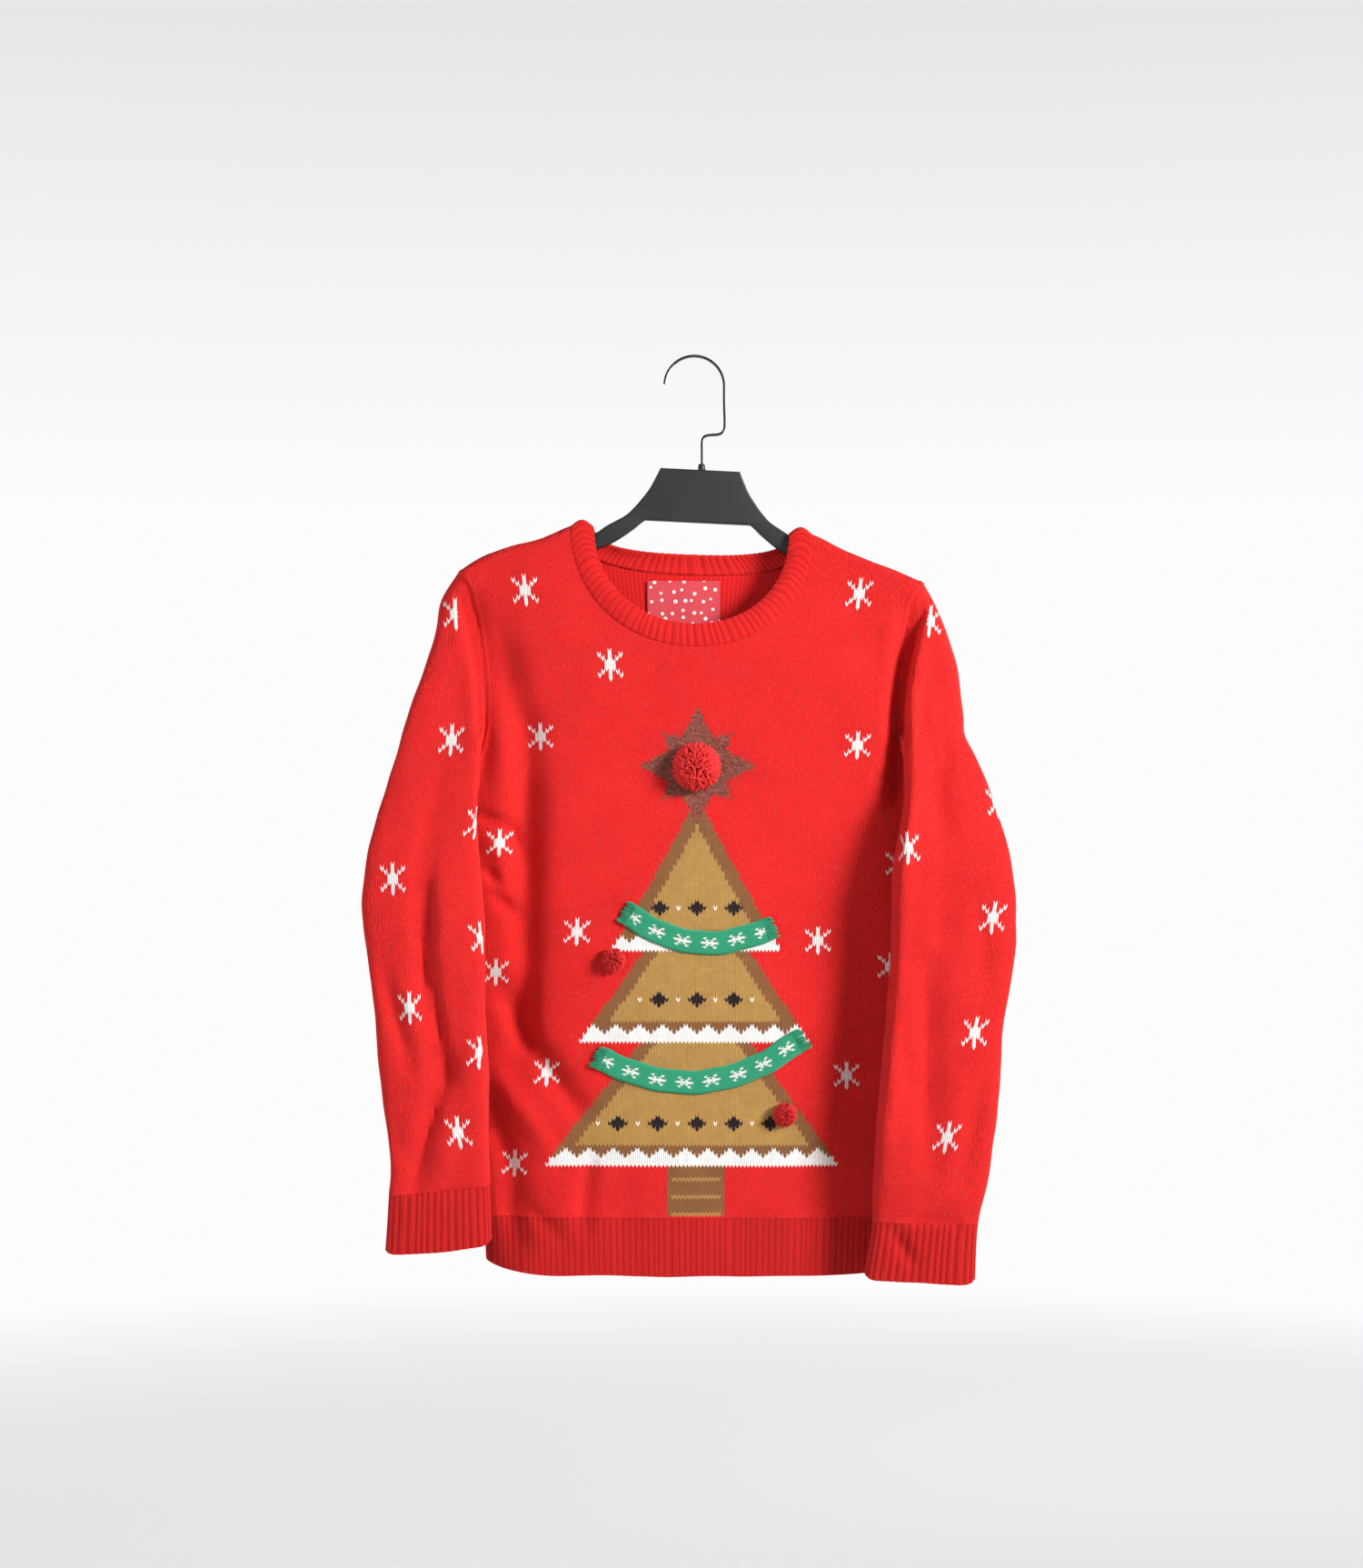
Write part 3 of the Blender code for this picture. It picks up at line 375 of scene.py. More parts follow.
POMPOM_ROOT = 0.35  # how far back strands point at most, and where they start


# ---- Curves and forms ----
def smooth(table, at):
    """The other columns of a table at places in its first column, on smooth curves."""
    table = np.asarray(table, float)
    knots, values = table[:, 0], table[:, 1:]
    slopes = np.gradient(values, knots, axis=0)
    at = np.clip(np.asarray(at, float), knots[0], knots[-1])
    i = np.clip(np.searchsorted(knots, at, side="right") - 1, 0, len(knots) - 2)
    step = (knots[i + 1] - knots[i])[..., None]
    t = (at - knots[i])[..., None] / step
    found = (
        values[i] * (1 + 2 * t) * (1 - t) ** 2
        + values[i + 1] * t**2 * (3 - 2 * t)
        + slopes[i] * step * t * (1 - t) ** 2
        - slopes[i + 1] * step * t**2 * (1 - t)
    )
    return np.moveaxis(found, -1, 0)


def ease(share):
    share = np.clip(share, 0, 1)
    return share * share * (3 - 2 * share)


def quarter(share, square=2.0):
    """A quarter round from 0 at an edge to 1 at its full depth."""
    return (1 - (1 - np.clip(share, 0, 1)) ** square) ** (1 / square)


def folds(x, z, table):
    """How far the folds of a table move a point inwards."""
    moved = np.zeros(np.shape(x))
    for from_x, from_z, to_x, to_z, width, depth in table:
        run_x, run_z = to_x - from_x, to_z - from_z
        along = ((x - from_x) * run_x + (z - from_z) * run_z) / (run_x**2 + run_z**2)
        along = np.clip(along, 0, 1)
        away = np.hypot(x - from_x - along * run_x, z - from_z - along * run_z)
        moved += depth * (0.4 + 0.6 * np.sin(math.pi * along)) * np.exp(-((away / width) ** 2))
    return moved


def shoulder_height(x):
    left, right = (smooth(SHOULDER[side], x)[0] for side in (LEFT, RIGHT))
    return np.where(np.asarray(x) < 0, left, right)


def form(x, z, face):
    """The depth of the front or back panel's outer surface."""
    half, middle, side_y, front, back, side_round = smooth(BODY_SECTIONS, z)
    drop = shoulder_height(x) - z
    depth = front if face == FRONT else back
    depth = SHOULDER_DEPTH + (depth - SHOULDER_DEPTH) * ease(drop / SHOULDER_FADE)
    edge = quarter((half - np.abs(x - middle)) / side_round)
    crest = quarter(drop / SHOULDER_ROUND, SHOULDER_SQUARE)
    table = FRONT_FOLDS if face == FRONT else BACK_FOLDS
    return side_y + face * edge * crest * (depth - folds(x, z, table))


def rim(face, place):
    """x and z of places on the rim of the front or back, from 0 at the left tip to 6."""
    place = np.asarray(place, float)
    side = np.where(place < 3, LEFT, RIGHT)
    down = np.where(place < 3, place, 6 - place)
    tip_z = np.where(side == LEFT, TIP_Z[LEFT], TIP_Z[RIGHT])
    underarm_z = HEM_SEAM_Z + UNDERARM * (tip_z - HEM_SEAM_Z)
    z = tip_z + (underarm_z - tip_z) * np.clip(down, 0, 1)
    z = z + (HEM_SEAM_Z - underarm_z) * np.clip(down - 1, 0, 1)
    half, middle = smooth(BODY_SECTIONS, z)[:2]
    inset = smooth(ARMHOLE, np.clip(down, 0, 1))[0 if face == FRONT else 1]
    return middle + side * (half - inset) * (1 - np.clip(down - 2, 0, 1)), z


def neck_turn(place):
    """The angle round the neckline, from its left end, of the column that leads to a place."""
    place = np.asarray(place, float)
    turn = np.radians(smooth(COLUMN_FAN, np.where(place < 3, place, 6 - place))[0])
    return np.where(place < 3, turn, math.pi - turn)


def neck_loop(turn, half, drop, square, height):
    """x and z of half a neckline, from its left end (turn 0) to its right end (turn pi)."""
    across = -np.sign(np.cos(turn)) * np.abs(np.cos(turn)) ** (2 / square) * half
    return across, height - NECK_TILT * across - drop * np.abs(np.sin(turn)) ** (2 / square)


def neck_seam(face, turn):
    return neck_loop(turn, NECK_HALF, NECK_DROP[face], NECK_SQUARE[face], NECK_Z)


def panel(face, places, rows):
    """The outer surface of the front or back: rows from the rim (1) to the neck (0)."""
    u, v = np.asarray(places, float)[None, :] / 6, np.asarray(rows, float)[:, None]
    bent, inwards, up = smooth(COLUMN_FAN, np.where(places < 3, places, 6 - places))[1:]
    inwards = inwards * np.where(places < 3, 1, -1)
    across = []
    neck, edge = neck_seam(face, neck_turn(places)), rim(face, places)
    for k, come_in in ((0, inwards), (1, up)):
        inner, outer = neck[k][None, :], edge[k][None, :]
        spread = (1 - v) * inner + v * outer
        spread = spread + 2 * v * (1 - v) * bent * (outer + come_in - (inner + outer) / 2)
        for share, end in ((1 - u, 0), (u, 6)):
            tip, start = rim(face, end), neck_seam(face, neck_turn(end))
            shoulder_x = start[0] + (tip[0] - start[0]) * v
            shoulder = (shoulder_x, shoulder_height(shoulder_x))[k]
            spread = spread + share * (shoulder - start[k] - (tip[k] - start[k]) * v)
        across.append(spread)
    x, z = across
    return np.stack([x, form(x, z, face), z], axis=-1)


def hem_ring(face, share, level):
    """Half a ring of the hem rib, share -1 to 1 across, from its lower edge (0) up (1)."""
    z = HEM_Z + HEM_CORNER_RISE * np.abs(share) ** HEM_CORNER
    z = z + (HEM_SEAM_Z - z) * level
    half, middle = smooth(BODY_SECTIONS, z)[:2]
    x = middle + half * share
    return np.stack([x, form(x, z, face), z], axis=-1)


def armhole(side, round_it):
    """Points of the armhole seam, from the tip (0) by the front and the underarm (1) to 2."""
    round_it = np.asarray(round_it, float)
    points = np.empty(round_it.shape + (3,))
    for face, here in ((FRONT, round_it <= 1), (BACK, round_it > 1)):
        fallen = round_it[here] if face == FRONT else 2 - round_it[here]
        x, z = rim(face, fallen if side == LEFT else 6 - fallen)
        points[here] = np.stack([x, form(x, z, face), z], axis=-1)
    return points


def sleeve_angle(round_it):
    """Where a line of the sleeve runs on its sections, from the outer edge by the front."""
    round_it = np.asarray(round_it, float)
    rear = 2 * math.pi - UNDERARM_ANGLE
    return np.where(
        round_it <= 1,
        UNDERARM_ANGLE * np.clip(round_it, 0, 1) ** 0.8,
        2 * math.pi - rear * np.clip(2 - round_it, 0, 1) ** 0.7,
    )


def sleeve_section(side, z, angle):
    """A ring of the free sleeve at one height."""
    outer, inner, mid_y, front, rear, slope = smooth(SLEEVE_SECTIONS[side], z)
    round_x, round_y = np.cos(angle), np.sin(angle)
    wide, deep = (np.where(round_y > 0, flat, SLEEVE_SQUARE) for flat in SLEEVE_FLAT)
    share_x = np.sign(round_x) * np.abs(round_x) ** (2 / wide)
    share_y = np.sign(round_y) * np.abs(round_y) ** (2 / deep)
    x = (outer + inner) / 2 + (outer - inner) / 2 * share_x
    y = mid_y - np.where(round_y > 0, front, rear) * share_y
    level = z - slope * np.abs(outer - inner) / 2 * share_x
    y = y + folds(x, level, SLEEVE_FOLDS[side]) * np.clip(round_y * 2, 0, 1)
    return np.stack([x, y, level], axis=-1)


def sleeve(side, round_it, cap_steps, levels):
    """The outer surface of a sleeve: rows from the armhole down, columns round it."""
    start, angle = armhole(side, round_it), sleeve_angle(round_it)
    first_z = SLEEVE_SECTIONS[side][-1, 0]
    first = sleeve_section(side, first_z, angle)
    out, forward, down = smooth(SLEEVE_LEAD, round_it)
    lead = start + np.stack([side * out, -forward, -down], axis=-1)
    rows = []
    for step in cap_steps:
        row = (1 - step) ** 2 * start + 2 * step * (1 - step) * lead + step**2 * first
        edge_z = TIP_Z[side] + (first_z - TIP_Z[side]) * step
        fallen = (TIP_Z[side] - row[0, 2]) / (TIP_Z[side] - first_z)
        edge_x = side * smooth(SLEEVE_OUTER[side], fallen)[0]
        near_edge = np.clip(np.cos(angle), 0, 1) ** 0.7 * (edge_z < TIP_Z[side])
        row[:, 0] += near_edge * (edge_x - row[0, 0])
        pressed = folds(row[:, 0], row[:, 2], SLEEVE_FOLDS[side])
        row[:, 1] += pressed * step * np.clip(np.sin(angle) * 2, 0, 1)
        rows.append(row)
    rows += [sleeve_section(side, z, angle) for z in levels]
    return np.array(rows)


def neck_half(face, turn):
    """Half the neckband's seam, its free edge and how far it bulges between them."""
    x, z = neck_seam(face, turn)
    y = form(x, z, face)
    seam = np.stack([x, y, z], axis=-1)
    x, z = neck_loop(turn, INNER_NECK_HALF, INNER_NECK_DROP[face], NECK_SQUARE[face],
                     INNER_NECK_Z)
    edge = np.stack([x, y * INNER_NECK_LEAN, z], axis=-1)
    level = np.abs(np.cos(turn))
    outward = np.stack([0 * x, face * np.sin(turn), level], axis=-1)
    bulge = NECKBAND_BULGE + (NECKBAND_CROWN - NECKBAND_BULGE) * level**3
    return seam, edge, outward * bulge[:, None]


# ---- Meshes ----
MOTIF_REACH = 9  # stitches
NO_MOTIF = 400.0  # where a face lies from a motif if none is near


def grid_normals(points, closed):
    """Unit normals of a grid of points, outwards where rows run up and columns to the right."""
    down = np.gradient(points, axis=0)
    if closed:
        across = np.roll(points, -1, axis=1) - np.roll(points, 1, axis=1)
    else:
        across = np.gradient(points, axis=1)
    normal = np.cross(across, down)
    return normal / np.maximum(np.linalg.norm(normal, axis=-1, keepdims=True), 1e-12)


def unrest(points, waves, turn):
    """Smooth noise at every point, the sum of a table's waves. turn is added to the seeds."""
    total = 0
    for size, high, seed in waves:
        flat = points.reshape(-1, 3) / size + (seed + turn)
        found = [noise.noise(Vector(place)) for place in flat.tolist()]
        total = total + np.array(found).reshape(points.shape[:-1]) * high
    return total


def along_grid(up, phase):
    """UV values of a grid with a height for each row and a phase for each point."""
    return np.stack([phase, np.broadcast_to(up[:, None], phase.shape)], axis=-1)


def path_lengths(points):
    """How far each point of a path lies from its first point."""
    steps = np.linalg.norm(np.diff(points, axis=0), axis=-1)
    if steps.ndim > 1:
        steps = steps.mean(axis=1)
    return np.concatenate([[0], np.cumsum(steps)])


def unit_rows(vectors):
    return vectors / np.linalg.norm(vectors, axis=-1, keepdims=True)


def grid_quads(rows, columns, close_rows, close_columns):
    """A grid's quads by point, and by UV cell, which has a column more where it closes."""
    i, j = np.meshgrid(np.arange(rows if close_rows else rows - 1),
                       np.arange(columns if close_columns else columns - 1), indexing="ij")
    i, j = i.ravel(), j.ravel()
    below, right = (i + 1) % rows, (j + 1) % columns
    last, width = np.minimum(i + 1, rows - 1), columns + close_columns
    quads = (i * columns + j, i * columns + right, below * columns + right, below * columns + j)
    cells = (i * width + j, i * width + j + 1, last * width + j + 1, last * width + j)
    return np.stack(quads, axis=1), np.stack(cells, axis=1)


def ring_faces(first, rings, sides):
    """Quads between rings of points that start at point first, and a cap on each end."""
    faces = []
    for low in range(first, first + (rings - 1) * sides, sides):
        for s in range(sides):
            t = (s + 1) % sides
            faces.append((low + s, low + t, low + sides + t, low + sides + s))
    last = first + (rings - 1) * sides
    return faces + [tuple(range(first, first + sides))[::-1], tuple(range(last, last + sides))]


def turn_outwards(mesh):
    work = bmesh.new()
    work.from_mesh(mesh)
    bmesh.ops.recalc_face_normals(work, faces=work.faces)
    work.to_mesh(mesh)
    work.free()


def new_piece(name, points, faces, materials, layers=None, sharp=None, turn=False):
    """A smooth object. layers maps a UV map's name to its values at the faces' corners.

    Edges sharper than sharp, in degrees, stay so. turn makes the faces point outwards.
    """
    mesh = bpy.data.meshes.new(name)
    mesh.from_pydata(points, [], faces)
    if turn:
        turn_outwards(mesh)
    for layer, values in (layers or {}).items():
        uv = mesh.uv_layers.new(name=layer)
        uv.data.foreach_set("uv", np.asarray(values, np.float32).ravel())
    for material in materials:
        mesh.materials.append(material)
    mesh.shade_smooth()
    if sharp:
        mesh.set_sharp_from_angle(angle=math.radians(sharp))
    made = bpy.data.objects.new(name, mesh)
    bpy.context.collection.objects.link(made)
    return made


def wall(name, outer, inner, closed, layers, materials, motifs=None):
    """A closed wall between two grids, with face-corner layers counted in stitches.

    layers maps a UV map's name to its values on the grid, one column more if it closes.
    motifs are the middles of the snowflakes on it, in stitches, and the half that is knitted.
    """
    rows, columns = outer.shape[:2]
    count, width = rows * columns, columns + closed
    quads, cells = grid_quads(rows, columns, False, closed)
    faces, corners = [quads, (quads + count)[:, ::-1]], [cells, cells[:, ::-1]]

    def close(first, second, first_cell, second_cell):
        faces.append(np.stack([second, first, first + count, second + count], axis=1))
        corners.append(np.stack([second_cell, first_cell, first_cell, second_cell], axis=1))

    k = np.arange(columns if closed else columns - 1)
    after = (k + 1) % columns
    close(k, after, k, k + 1)
    top, top_cell = (rows - 1) * columns, (rows - 1) * width
    close(top + after, top + k, top_cell + k + 1, top_cell + k)
    if not closed:
        k = np.arange(rows - 1)
        close((k + 1) * columns, k * columns, (k + 1) * width, k * width)
        first, second = k * columns + columns - 1, k * width + columns - 1
        close(first, first + columns, second, second + width)
    faces, corners = np.concatenate(faces), np.concatenate(corners)
    inside = np.zeros(len(faces), int)
    inside[len(quads):2 * len(quads)] = 1
    placed = {layer: values.reshape(-1, 2)[corners] for layer, values in layers.items()}
    if motifs is not None:
        knit = placed["knit"]
        middle = knit.mean(axis=1)
        local = np.full(knit.shape, NO_MOTIF)
        for cell_u, cell_v, half in motifs:
            aside, aloft = middle[:, 0] - cell_u - 0.5, middle[:, 1] - cell_v - 0.5
            near = (np.hypot(aside, aloft) < MOTIF_REACH) & (inside == 0) & (half * aside > -0.7)
            local[near] = knit[near] - (cell_u, cell_v)
        placed["motif"] = local
    points = np.concatenate([outer.reshape(-1, 3), inner.reshape(-1, 3)]).tolist()
    made = new_piece(name, points, faces.tolist(), materials, placed, sharp=60)
    if len(materials) > 1:
        made.data.polygons.foreach_set("material_index", inside.astype(np.int32))
    return made


def declare(piece, nodes):
    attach(piece, "root")
    if nodes:
        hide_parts(*nodes)


# ---- Node arithmetic ----
class Number:
    """A number in a node tree. Arithmetic on it adds math nodes."""

    def __init__(self, tree, socket):
        self.tree, self.socket = tree, socket

    def make(self, operation, *others):
        node = self.tree.nodes.new("ShaderNodeMath")
        node.operation = operation
        for slot, value in zip(node.inputs, (self, *others)):
            if isinstance(value, Number):
                self.tree.links.new(value.socket, slot)
            else:
                slot.default_value = value
        return Number(self.tree, node.outputs[0])

    __add__ = __radd__ = partialmethod(make, "ADD")
    __mul__ = __rmul__ = partialmethod(make, "MULTIPLY")
    __sub__ = partialmethod(make, "SUBTRACT")
    __pow__ = partialmethod(make, "POWER")
    above = partialmethod(make, "GREATER_THAN")
    below = partialmethod(make, "LESS_THAN")
    least = partialmethod(make, "MINIMUM")
    most = partialmethod(make, "MAXIMUM")
    wave = partialmethod(make, "PINGPONG")
    size = partialmethod(make, "ABSOLUTE")
    floor = partialmethod(make, "FLOOR")
    part = partialmethod(make, "FRACT")

    def __rsub__(self, other):
        return (self * -1.0) + other

    def ramp(self, low, high):
        """0 below low and 1 above high."""
        node = self.tree.nodes.new("ShaderNodeMapRange")
        node.inputs["From Min"].default_value = low
        node.inputs["From Max"].default_value = high
        self.tree.links.new(self.socket, node.inputs["Value"])
        return Number(self.tree, node.outputs[0])


def uv_numbers(tree, layer):
    uv = tree.nodes.new("ShaderNodeUVMap")
    uv.uv_map = layer
    split = tree.nodes.new("ShaderNodeSeparateXYZ")
    tree.links.new(uv.outputs[0], split.inputs[0])
    return Number(tree, split.outputs[0]), Number(tree, split.outputs[1])


def noise_number(tree, scale, detail=2.0, rough=0.5, stretch=(1, 1, 1)):
    place = tree.nodes.new("ShaderNodeTexCoord")
    mapping = tree.nodes.new("ShaderNodeMapping")
    mapping.inputs["Scale"].default_value = stretch
    texture = tree.nodes.new("ShaderNodeTexNoise")
    texture.inputs["Scale"].default_value = scale
    texture.inputs["Detail"].default_value = detail
    texture.inputs["Roughness"].default_value = rough
    tree.links.new(place.outputs["Object"], mapping.inputs[0])
    tree.links.new(mapping.outputs[0], texture.inputs["Vector"])
    return Number(tree, texture.outputs[0])


def blend_colours(tree, share, first, second, way="MIX"):
    """Mixes two colours, each a tuple or a socket."""
    mix = tree.nodes.new("ShaderNodeMix")
    mix.data_type = "RGBA"
    mix.blend_type = way
    for slot, value in ((mix.inputs["Factor"], share), (mix.inputs[6], first),
                        (mix.inputs[7], second)):
        if isinstance(value, Number):
            tree.links.new(value.socket, slot)
        elif isinstance(value, tuple):
            slot.default_value = (*value, 1)
        elif isinstance(value, float):
            slot.default_value = value
        else:
            tree.links.new(value, slot)
    return mix.outputs[2]


def scaled_colour(tree, colour, by):
    join = tree.nodes.new("ShaderNodeCombineXYZ")
    for slot in join.inputs:
        tree.links.new(by.socket, slot)
    return blend_colours(tree, 1.0, colour, join.outputs[0], "MULTIPLY")


def new_material(name, rough, metallic=0.0, sheen=0.0, sheen_tint=(1, 1, 1), specular=0.5):
    material = bpy.data.materials.new(name)
    material.use_nodes = True
    tree = material.node_tree
    shader = tree.nodes["Principled BSDF"]
    shader.inputs["Roughness"].default_value = rough
    shader.inputs["Metallic"].default_value = metallic
    shader.inputs["Specular IOR Level"].default_value = specular
    if sheen:
        shader.inputs["Sheen Weight"].default_value = sheen
        shader.inputs["Sheen Roughness"].default_value = 0.45
        shader.inputs["Sheen Tint"].default_value = (*sheen_tint, 1)
    return material, tree, shader


def finish_material(tree, shader, colour, height=None, deep=0.0, strength=1.0):
    tree.links.new(colour, shader.inputs["Base Color"])
    if height is not None:
        bump = tree.nodes.new("ShaderNodeBump")
        bump.inputs["Distance"].default_value = deep
        bump.inputs["Strength"].default_value = strength
        tree.links.new(height.socket, bump.inputs["Height"])
        tree.links.new(bump.outputs[0], shader.inputs["Normal"])


# ---- Colours, linear ----
RED = (0.78, 0.017, 0.016)
RED_PATCH = (0.73, 0.0145, 0.014)
# The purl's painted shade in the hollows between its arcs.
RED_PURL_SHADE = (0.52, 0.008, 0.010)
RED_FUZZ = (0.90, 0.30, 0.27)
RED_YARN = (0.92, 0.045, 0.045)
WHITE = (0.86, 0.84, 0.82)
CAMEL = (0.435, 0.250, 0.072)
BROWN = (0.235, 0.105, 0.040)
BOUCLE = (0.150, 0.034, 0.024)
# The bouclé's lighter colour is partly a painted highlight on its curls' tops.
BOUCLE_CURL_HIGHLIGHT = (0.340, 0.120, 0.090)
BLACK = (0.012, 0.012, 0.014)
GREEN = (0.030, 0.330, 0.170)
SHEEN_RED = (1.0, 0.12, 0.11)
SHEEN_GREEN = (0.5, 1.0, 0.75)

# ---- The tree's chart, in stitches out from its middle and rows up from the hem's seam ----
TREE_COLUMN = round(0.004 / WALE)
TRUNK_HALF, TRUNK_TOP, TRUNK_CAMEL, TRUNK_STRIPE = 7.5, 18.0, 6.5, 3.0
TREE_TIERS = ((17, 66, 38.0), (59, 56, 30.0), (90, 50, 22.0))  # first row, rows, half width
TIER_EDGE, TIER_FOOT = 3.5, 6.5  # the brown round a tier's camel
TOOTH_WIDE, TOOTH_FOOT = 3.0, 2.5
LOZENGE_ROW = 14
LOZENGE_PITCH = 10.0
STAR_ROW = 152
STAR_REACH = 0.048
DIAGONAL = 0.7071
RIBBON_REPEAT = 11.0  # rows from one flake of a garland to the next


def from_middle(u):
    """0 in the middle of a stitch or a rib, 1 at its edges."""
    return (u.part() - 0.5).size() * 2.0


def yarn_height(aside, along):
    """How high the yarn of a stitch's leg lies, by where it is across the stitch and along."""
    across, along = 1.0 - (aside * 2.0 - 1.0) ** 2.0, along.part()
    return across ** 0.5 * ((along * (1.0 - along) * 4.0) ** 0.5 * 0.5 + 0.5)


def stitch(u, v):
    """Stocking stitch: where a place lies across its stitch, its row, and the yarn's height."""
    aside = from_middle(u)
    climbed = v - aside * LEG_RISE
    return aside, climbed.floor(), yarn_height(aside, climbed)


def flake_shape(i, j):
    """A snowflake of 7 by 9 stitches: 1 on it, 0 off it."""
    i, j = i.size(), j.size()
    core = i.most(j).below(1.5)
    arms = (i - j).size().below(0.5) * i.below(3.5)
    upright = i.below(0.5) * j.below(4.5)
    return core.most(arms).most(upright)


def tier_paints(out, row, base, length, half):
    """A tier of the tree: where it is, then each share of it with its colour."""
    up = row - float(base)
    edge = (1.0 - up * (1.0 / length)) * half - out
    inside = edge.above(-0.5) * up.above(-0.5)
    level = (up - float(LOZENGE_ROW)).size()
    room = half * (1 - LOZENGE_ROW / length)
    count = out * (1.0 / LOZENGE_PITCH)
    gem_at = (count + 0.5).floor() * LOZENGE_PITCH
    dot_at = count.floor() * LOZENGE_PITCH + LOZENGE_PITCH / 2
    return inside, (
        (inside, BROWN),
        (edge.above(TIER_EDGE) * up.above(TIER_FOOT), CAMEL),
        (up.below(out.wave(TOOTH_WIDE) + TOOTH_FOOT) * inside, WHITE),
        (((out - gem_at).size() + level).below(2.5) * gem_at.below(room - 5.5), BLACK),
        (((out - dot_at).size() + level).below(0.5) * dot_at.below(room - 4.5), WHITE),
    )


def star_shape(out, row):
    """A star with eight points round the tree's top."""
    across, level = out * WALE, (row - float(STAR_ROW)).size() * COURSE
    points = across.most(level) + across.least(level) * 1.7
    across, level = (across + level) * DIAGONAL, (across - level).size() * DIAGONAL
    between = across.most(level) + across.least(level) * 1.9
    return points.below(STAR_REACH).most(between.below(STAR_REACH * 0.84))


def tree_colour(tree, colour, u, row):
    """The generic Nordic tree over a colour, with its star, the star's curls and its figure."""
    out = (u.floor() - TREE_COLUMN).size()
    figure = out.below(TRUNK_HALF) * row.below(TRUNK_TOP) * row.above(-0.5)
    stripe = row.wave(TRUNK_STRIPE).below(0.5) * out.below(TRUNK_CAMEL)
    paints = [(figure, BROWN), (figure * stripe, CAMEL)]
    for tier in TREE_TIERS:
        inside, more = tier_paints(out, row, *tier)
        figure = figure.most(inside)
        paints += more
    star, curls = star_shape(out, row), noise_number(tree, 520.0, 3.0, 0.7)
    # The bouclé is lighter where its curls stand highest: its own mottle, and partly a painted
    # highlight on the raised loops.
    boucle = blend_colours(tree, curls.ramp(0.38, 0.68), BOUCLE, BOUCLE_CURL_HIGHLIGHT)
    for share, paint in (*paints, (star, boucle)):
        colour = blend_colours(tree, share, colour, paint)
    return colour, star, curls, figure


def cloth_material(name, tint=SHEEN_RED, sheen=0.35):
    return new_material(name, 0.92, sheen=sheen, sheen_tint=tint, specular=0.18)


def knit_material(name, with_tree=False):
    """Stocking stitch in red with snowflakes, and with the tree on the front."""
    material, tree, shader = cloth_material(name)
    u, v = uv_numbers(tree, "knit")
    aside, row, height = stitch(u, v)
    patches, fuzz = noise_number(tree, 26.0), noise_number(tree, 620.0, 2.0, 0.7)
    yarn, tufts = noise_number(tree, 900.0, 1.0), noise_number(tree, 330.0)
    colour = blend_colours(tree, patches.ramp(0.3, 0.7), RED, RED_PATCH)
    colour = blend_colours(tree, fuzz.ramp(0.48, 0.78) * 0.10, colour, RED_FUZZ)
    if with_tree:
        colour, star, curls, figure = tree_colour(tree, colour, u, row)
    local_u, local_v = uv_numbers(tree, "motif")
    flake = flake_shape(local_u.floor(), (local_v - aside * LEG_RISE).floor())
    colour = blend_colours(tree, flake * height.ramp(0.12, 0.42), colour, WHITE)
    # Painted shade: each stitch's colour darkens down in the grooves between its legs, where the
    # yarn lies low.
    depth = height * 0.34 + 0.66
    if with_tree:
        # On the tree's figure the painted groove shade is deeper, over a random mottle. The star
        # gets none.
        mottle = noise_number(tree, 70.0, 3.0, 0.7).ramp(0.3, 0.7)
        depth = depth + figure * (height * 0.70 - 0.50 + mottle * 0.16)
        depth = depth * (1.0 - star) + star * 0.95
        height = height * (1.0 - star) + star * (curls * 2.4)
    colour = scaled_colour(tree, colour, depth * (yarn * 0.30 + 0.85) * (tufts * 0.26 + 0.87))
    finish_material(tree, shader, colour, height, 0.0009, 0.75)
    return material


def purl_material(name):
    """The wrong side of the knit: arcs."""
    material, tree, shader = cloth_material(name)
    u, v = uv_numbers(tree, "knit")
    bumps = from_middle(u)
    height = (1.0 - from_middle(v + bumps * 0.5) * 0.45) * (bumps * 0.55 + 0.45)
    # Painted shade: the purl arcs go dark red down in the hollows between them, and darker again
    # by their height.
    colour = blend_colours(tree, height, RED_PURL_SHADE, RED)
    colour = scaled_colour(tree, colour, height * 0.25 + 0.82)
    finish_material(tree, shader, colour, height, 0.0007, 0.7)
    return material


def rib_material(name, ridge_red, furrow_shade_red, deep):
    """Rib: knit stitches on the ridges, painted shade in the furrows and down between the
    stitches' legs, each rib a little different.
    """
    material, tree, shader = cloth_material(name)
    u, v = uv_numbers(tree, "knit")
    aside = from_middle(u)
    ridge, legs = aside.ramp(1.0, 0.55), (aside * 1.55).least(1.0)
    height = yarn_height(legs, v - legs * LEG_RISE)
    yarn = noise_number(tree, 900.0, 1.0)
    each = (u.floor() * 0.618).part() * 0.06 + 0.97
    colour = blend_colours(tree, ridge, furrow_shade_red, ridge_red)
    colour = scaled_colour(tree, colour, (height * 0.24 + 0.72) * (yarn * 0.24 + 0.88) * each)
    finish_material(tree, shader, colour, height * ridge, deep, 0.6)
    return material


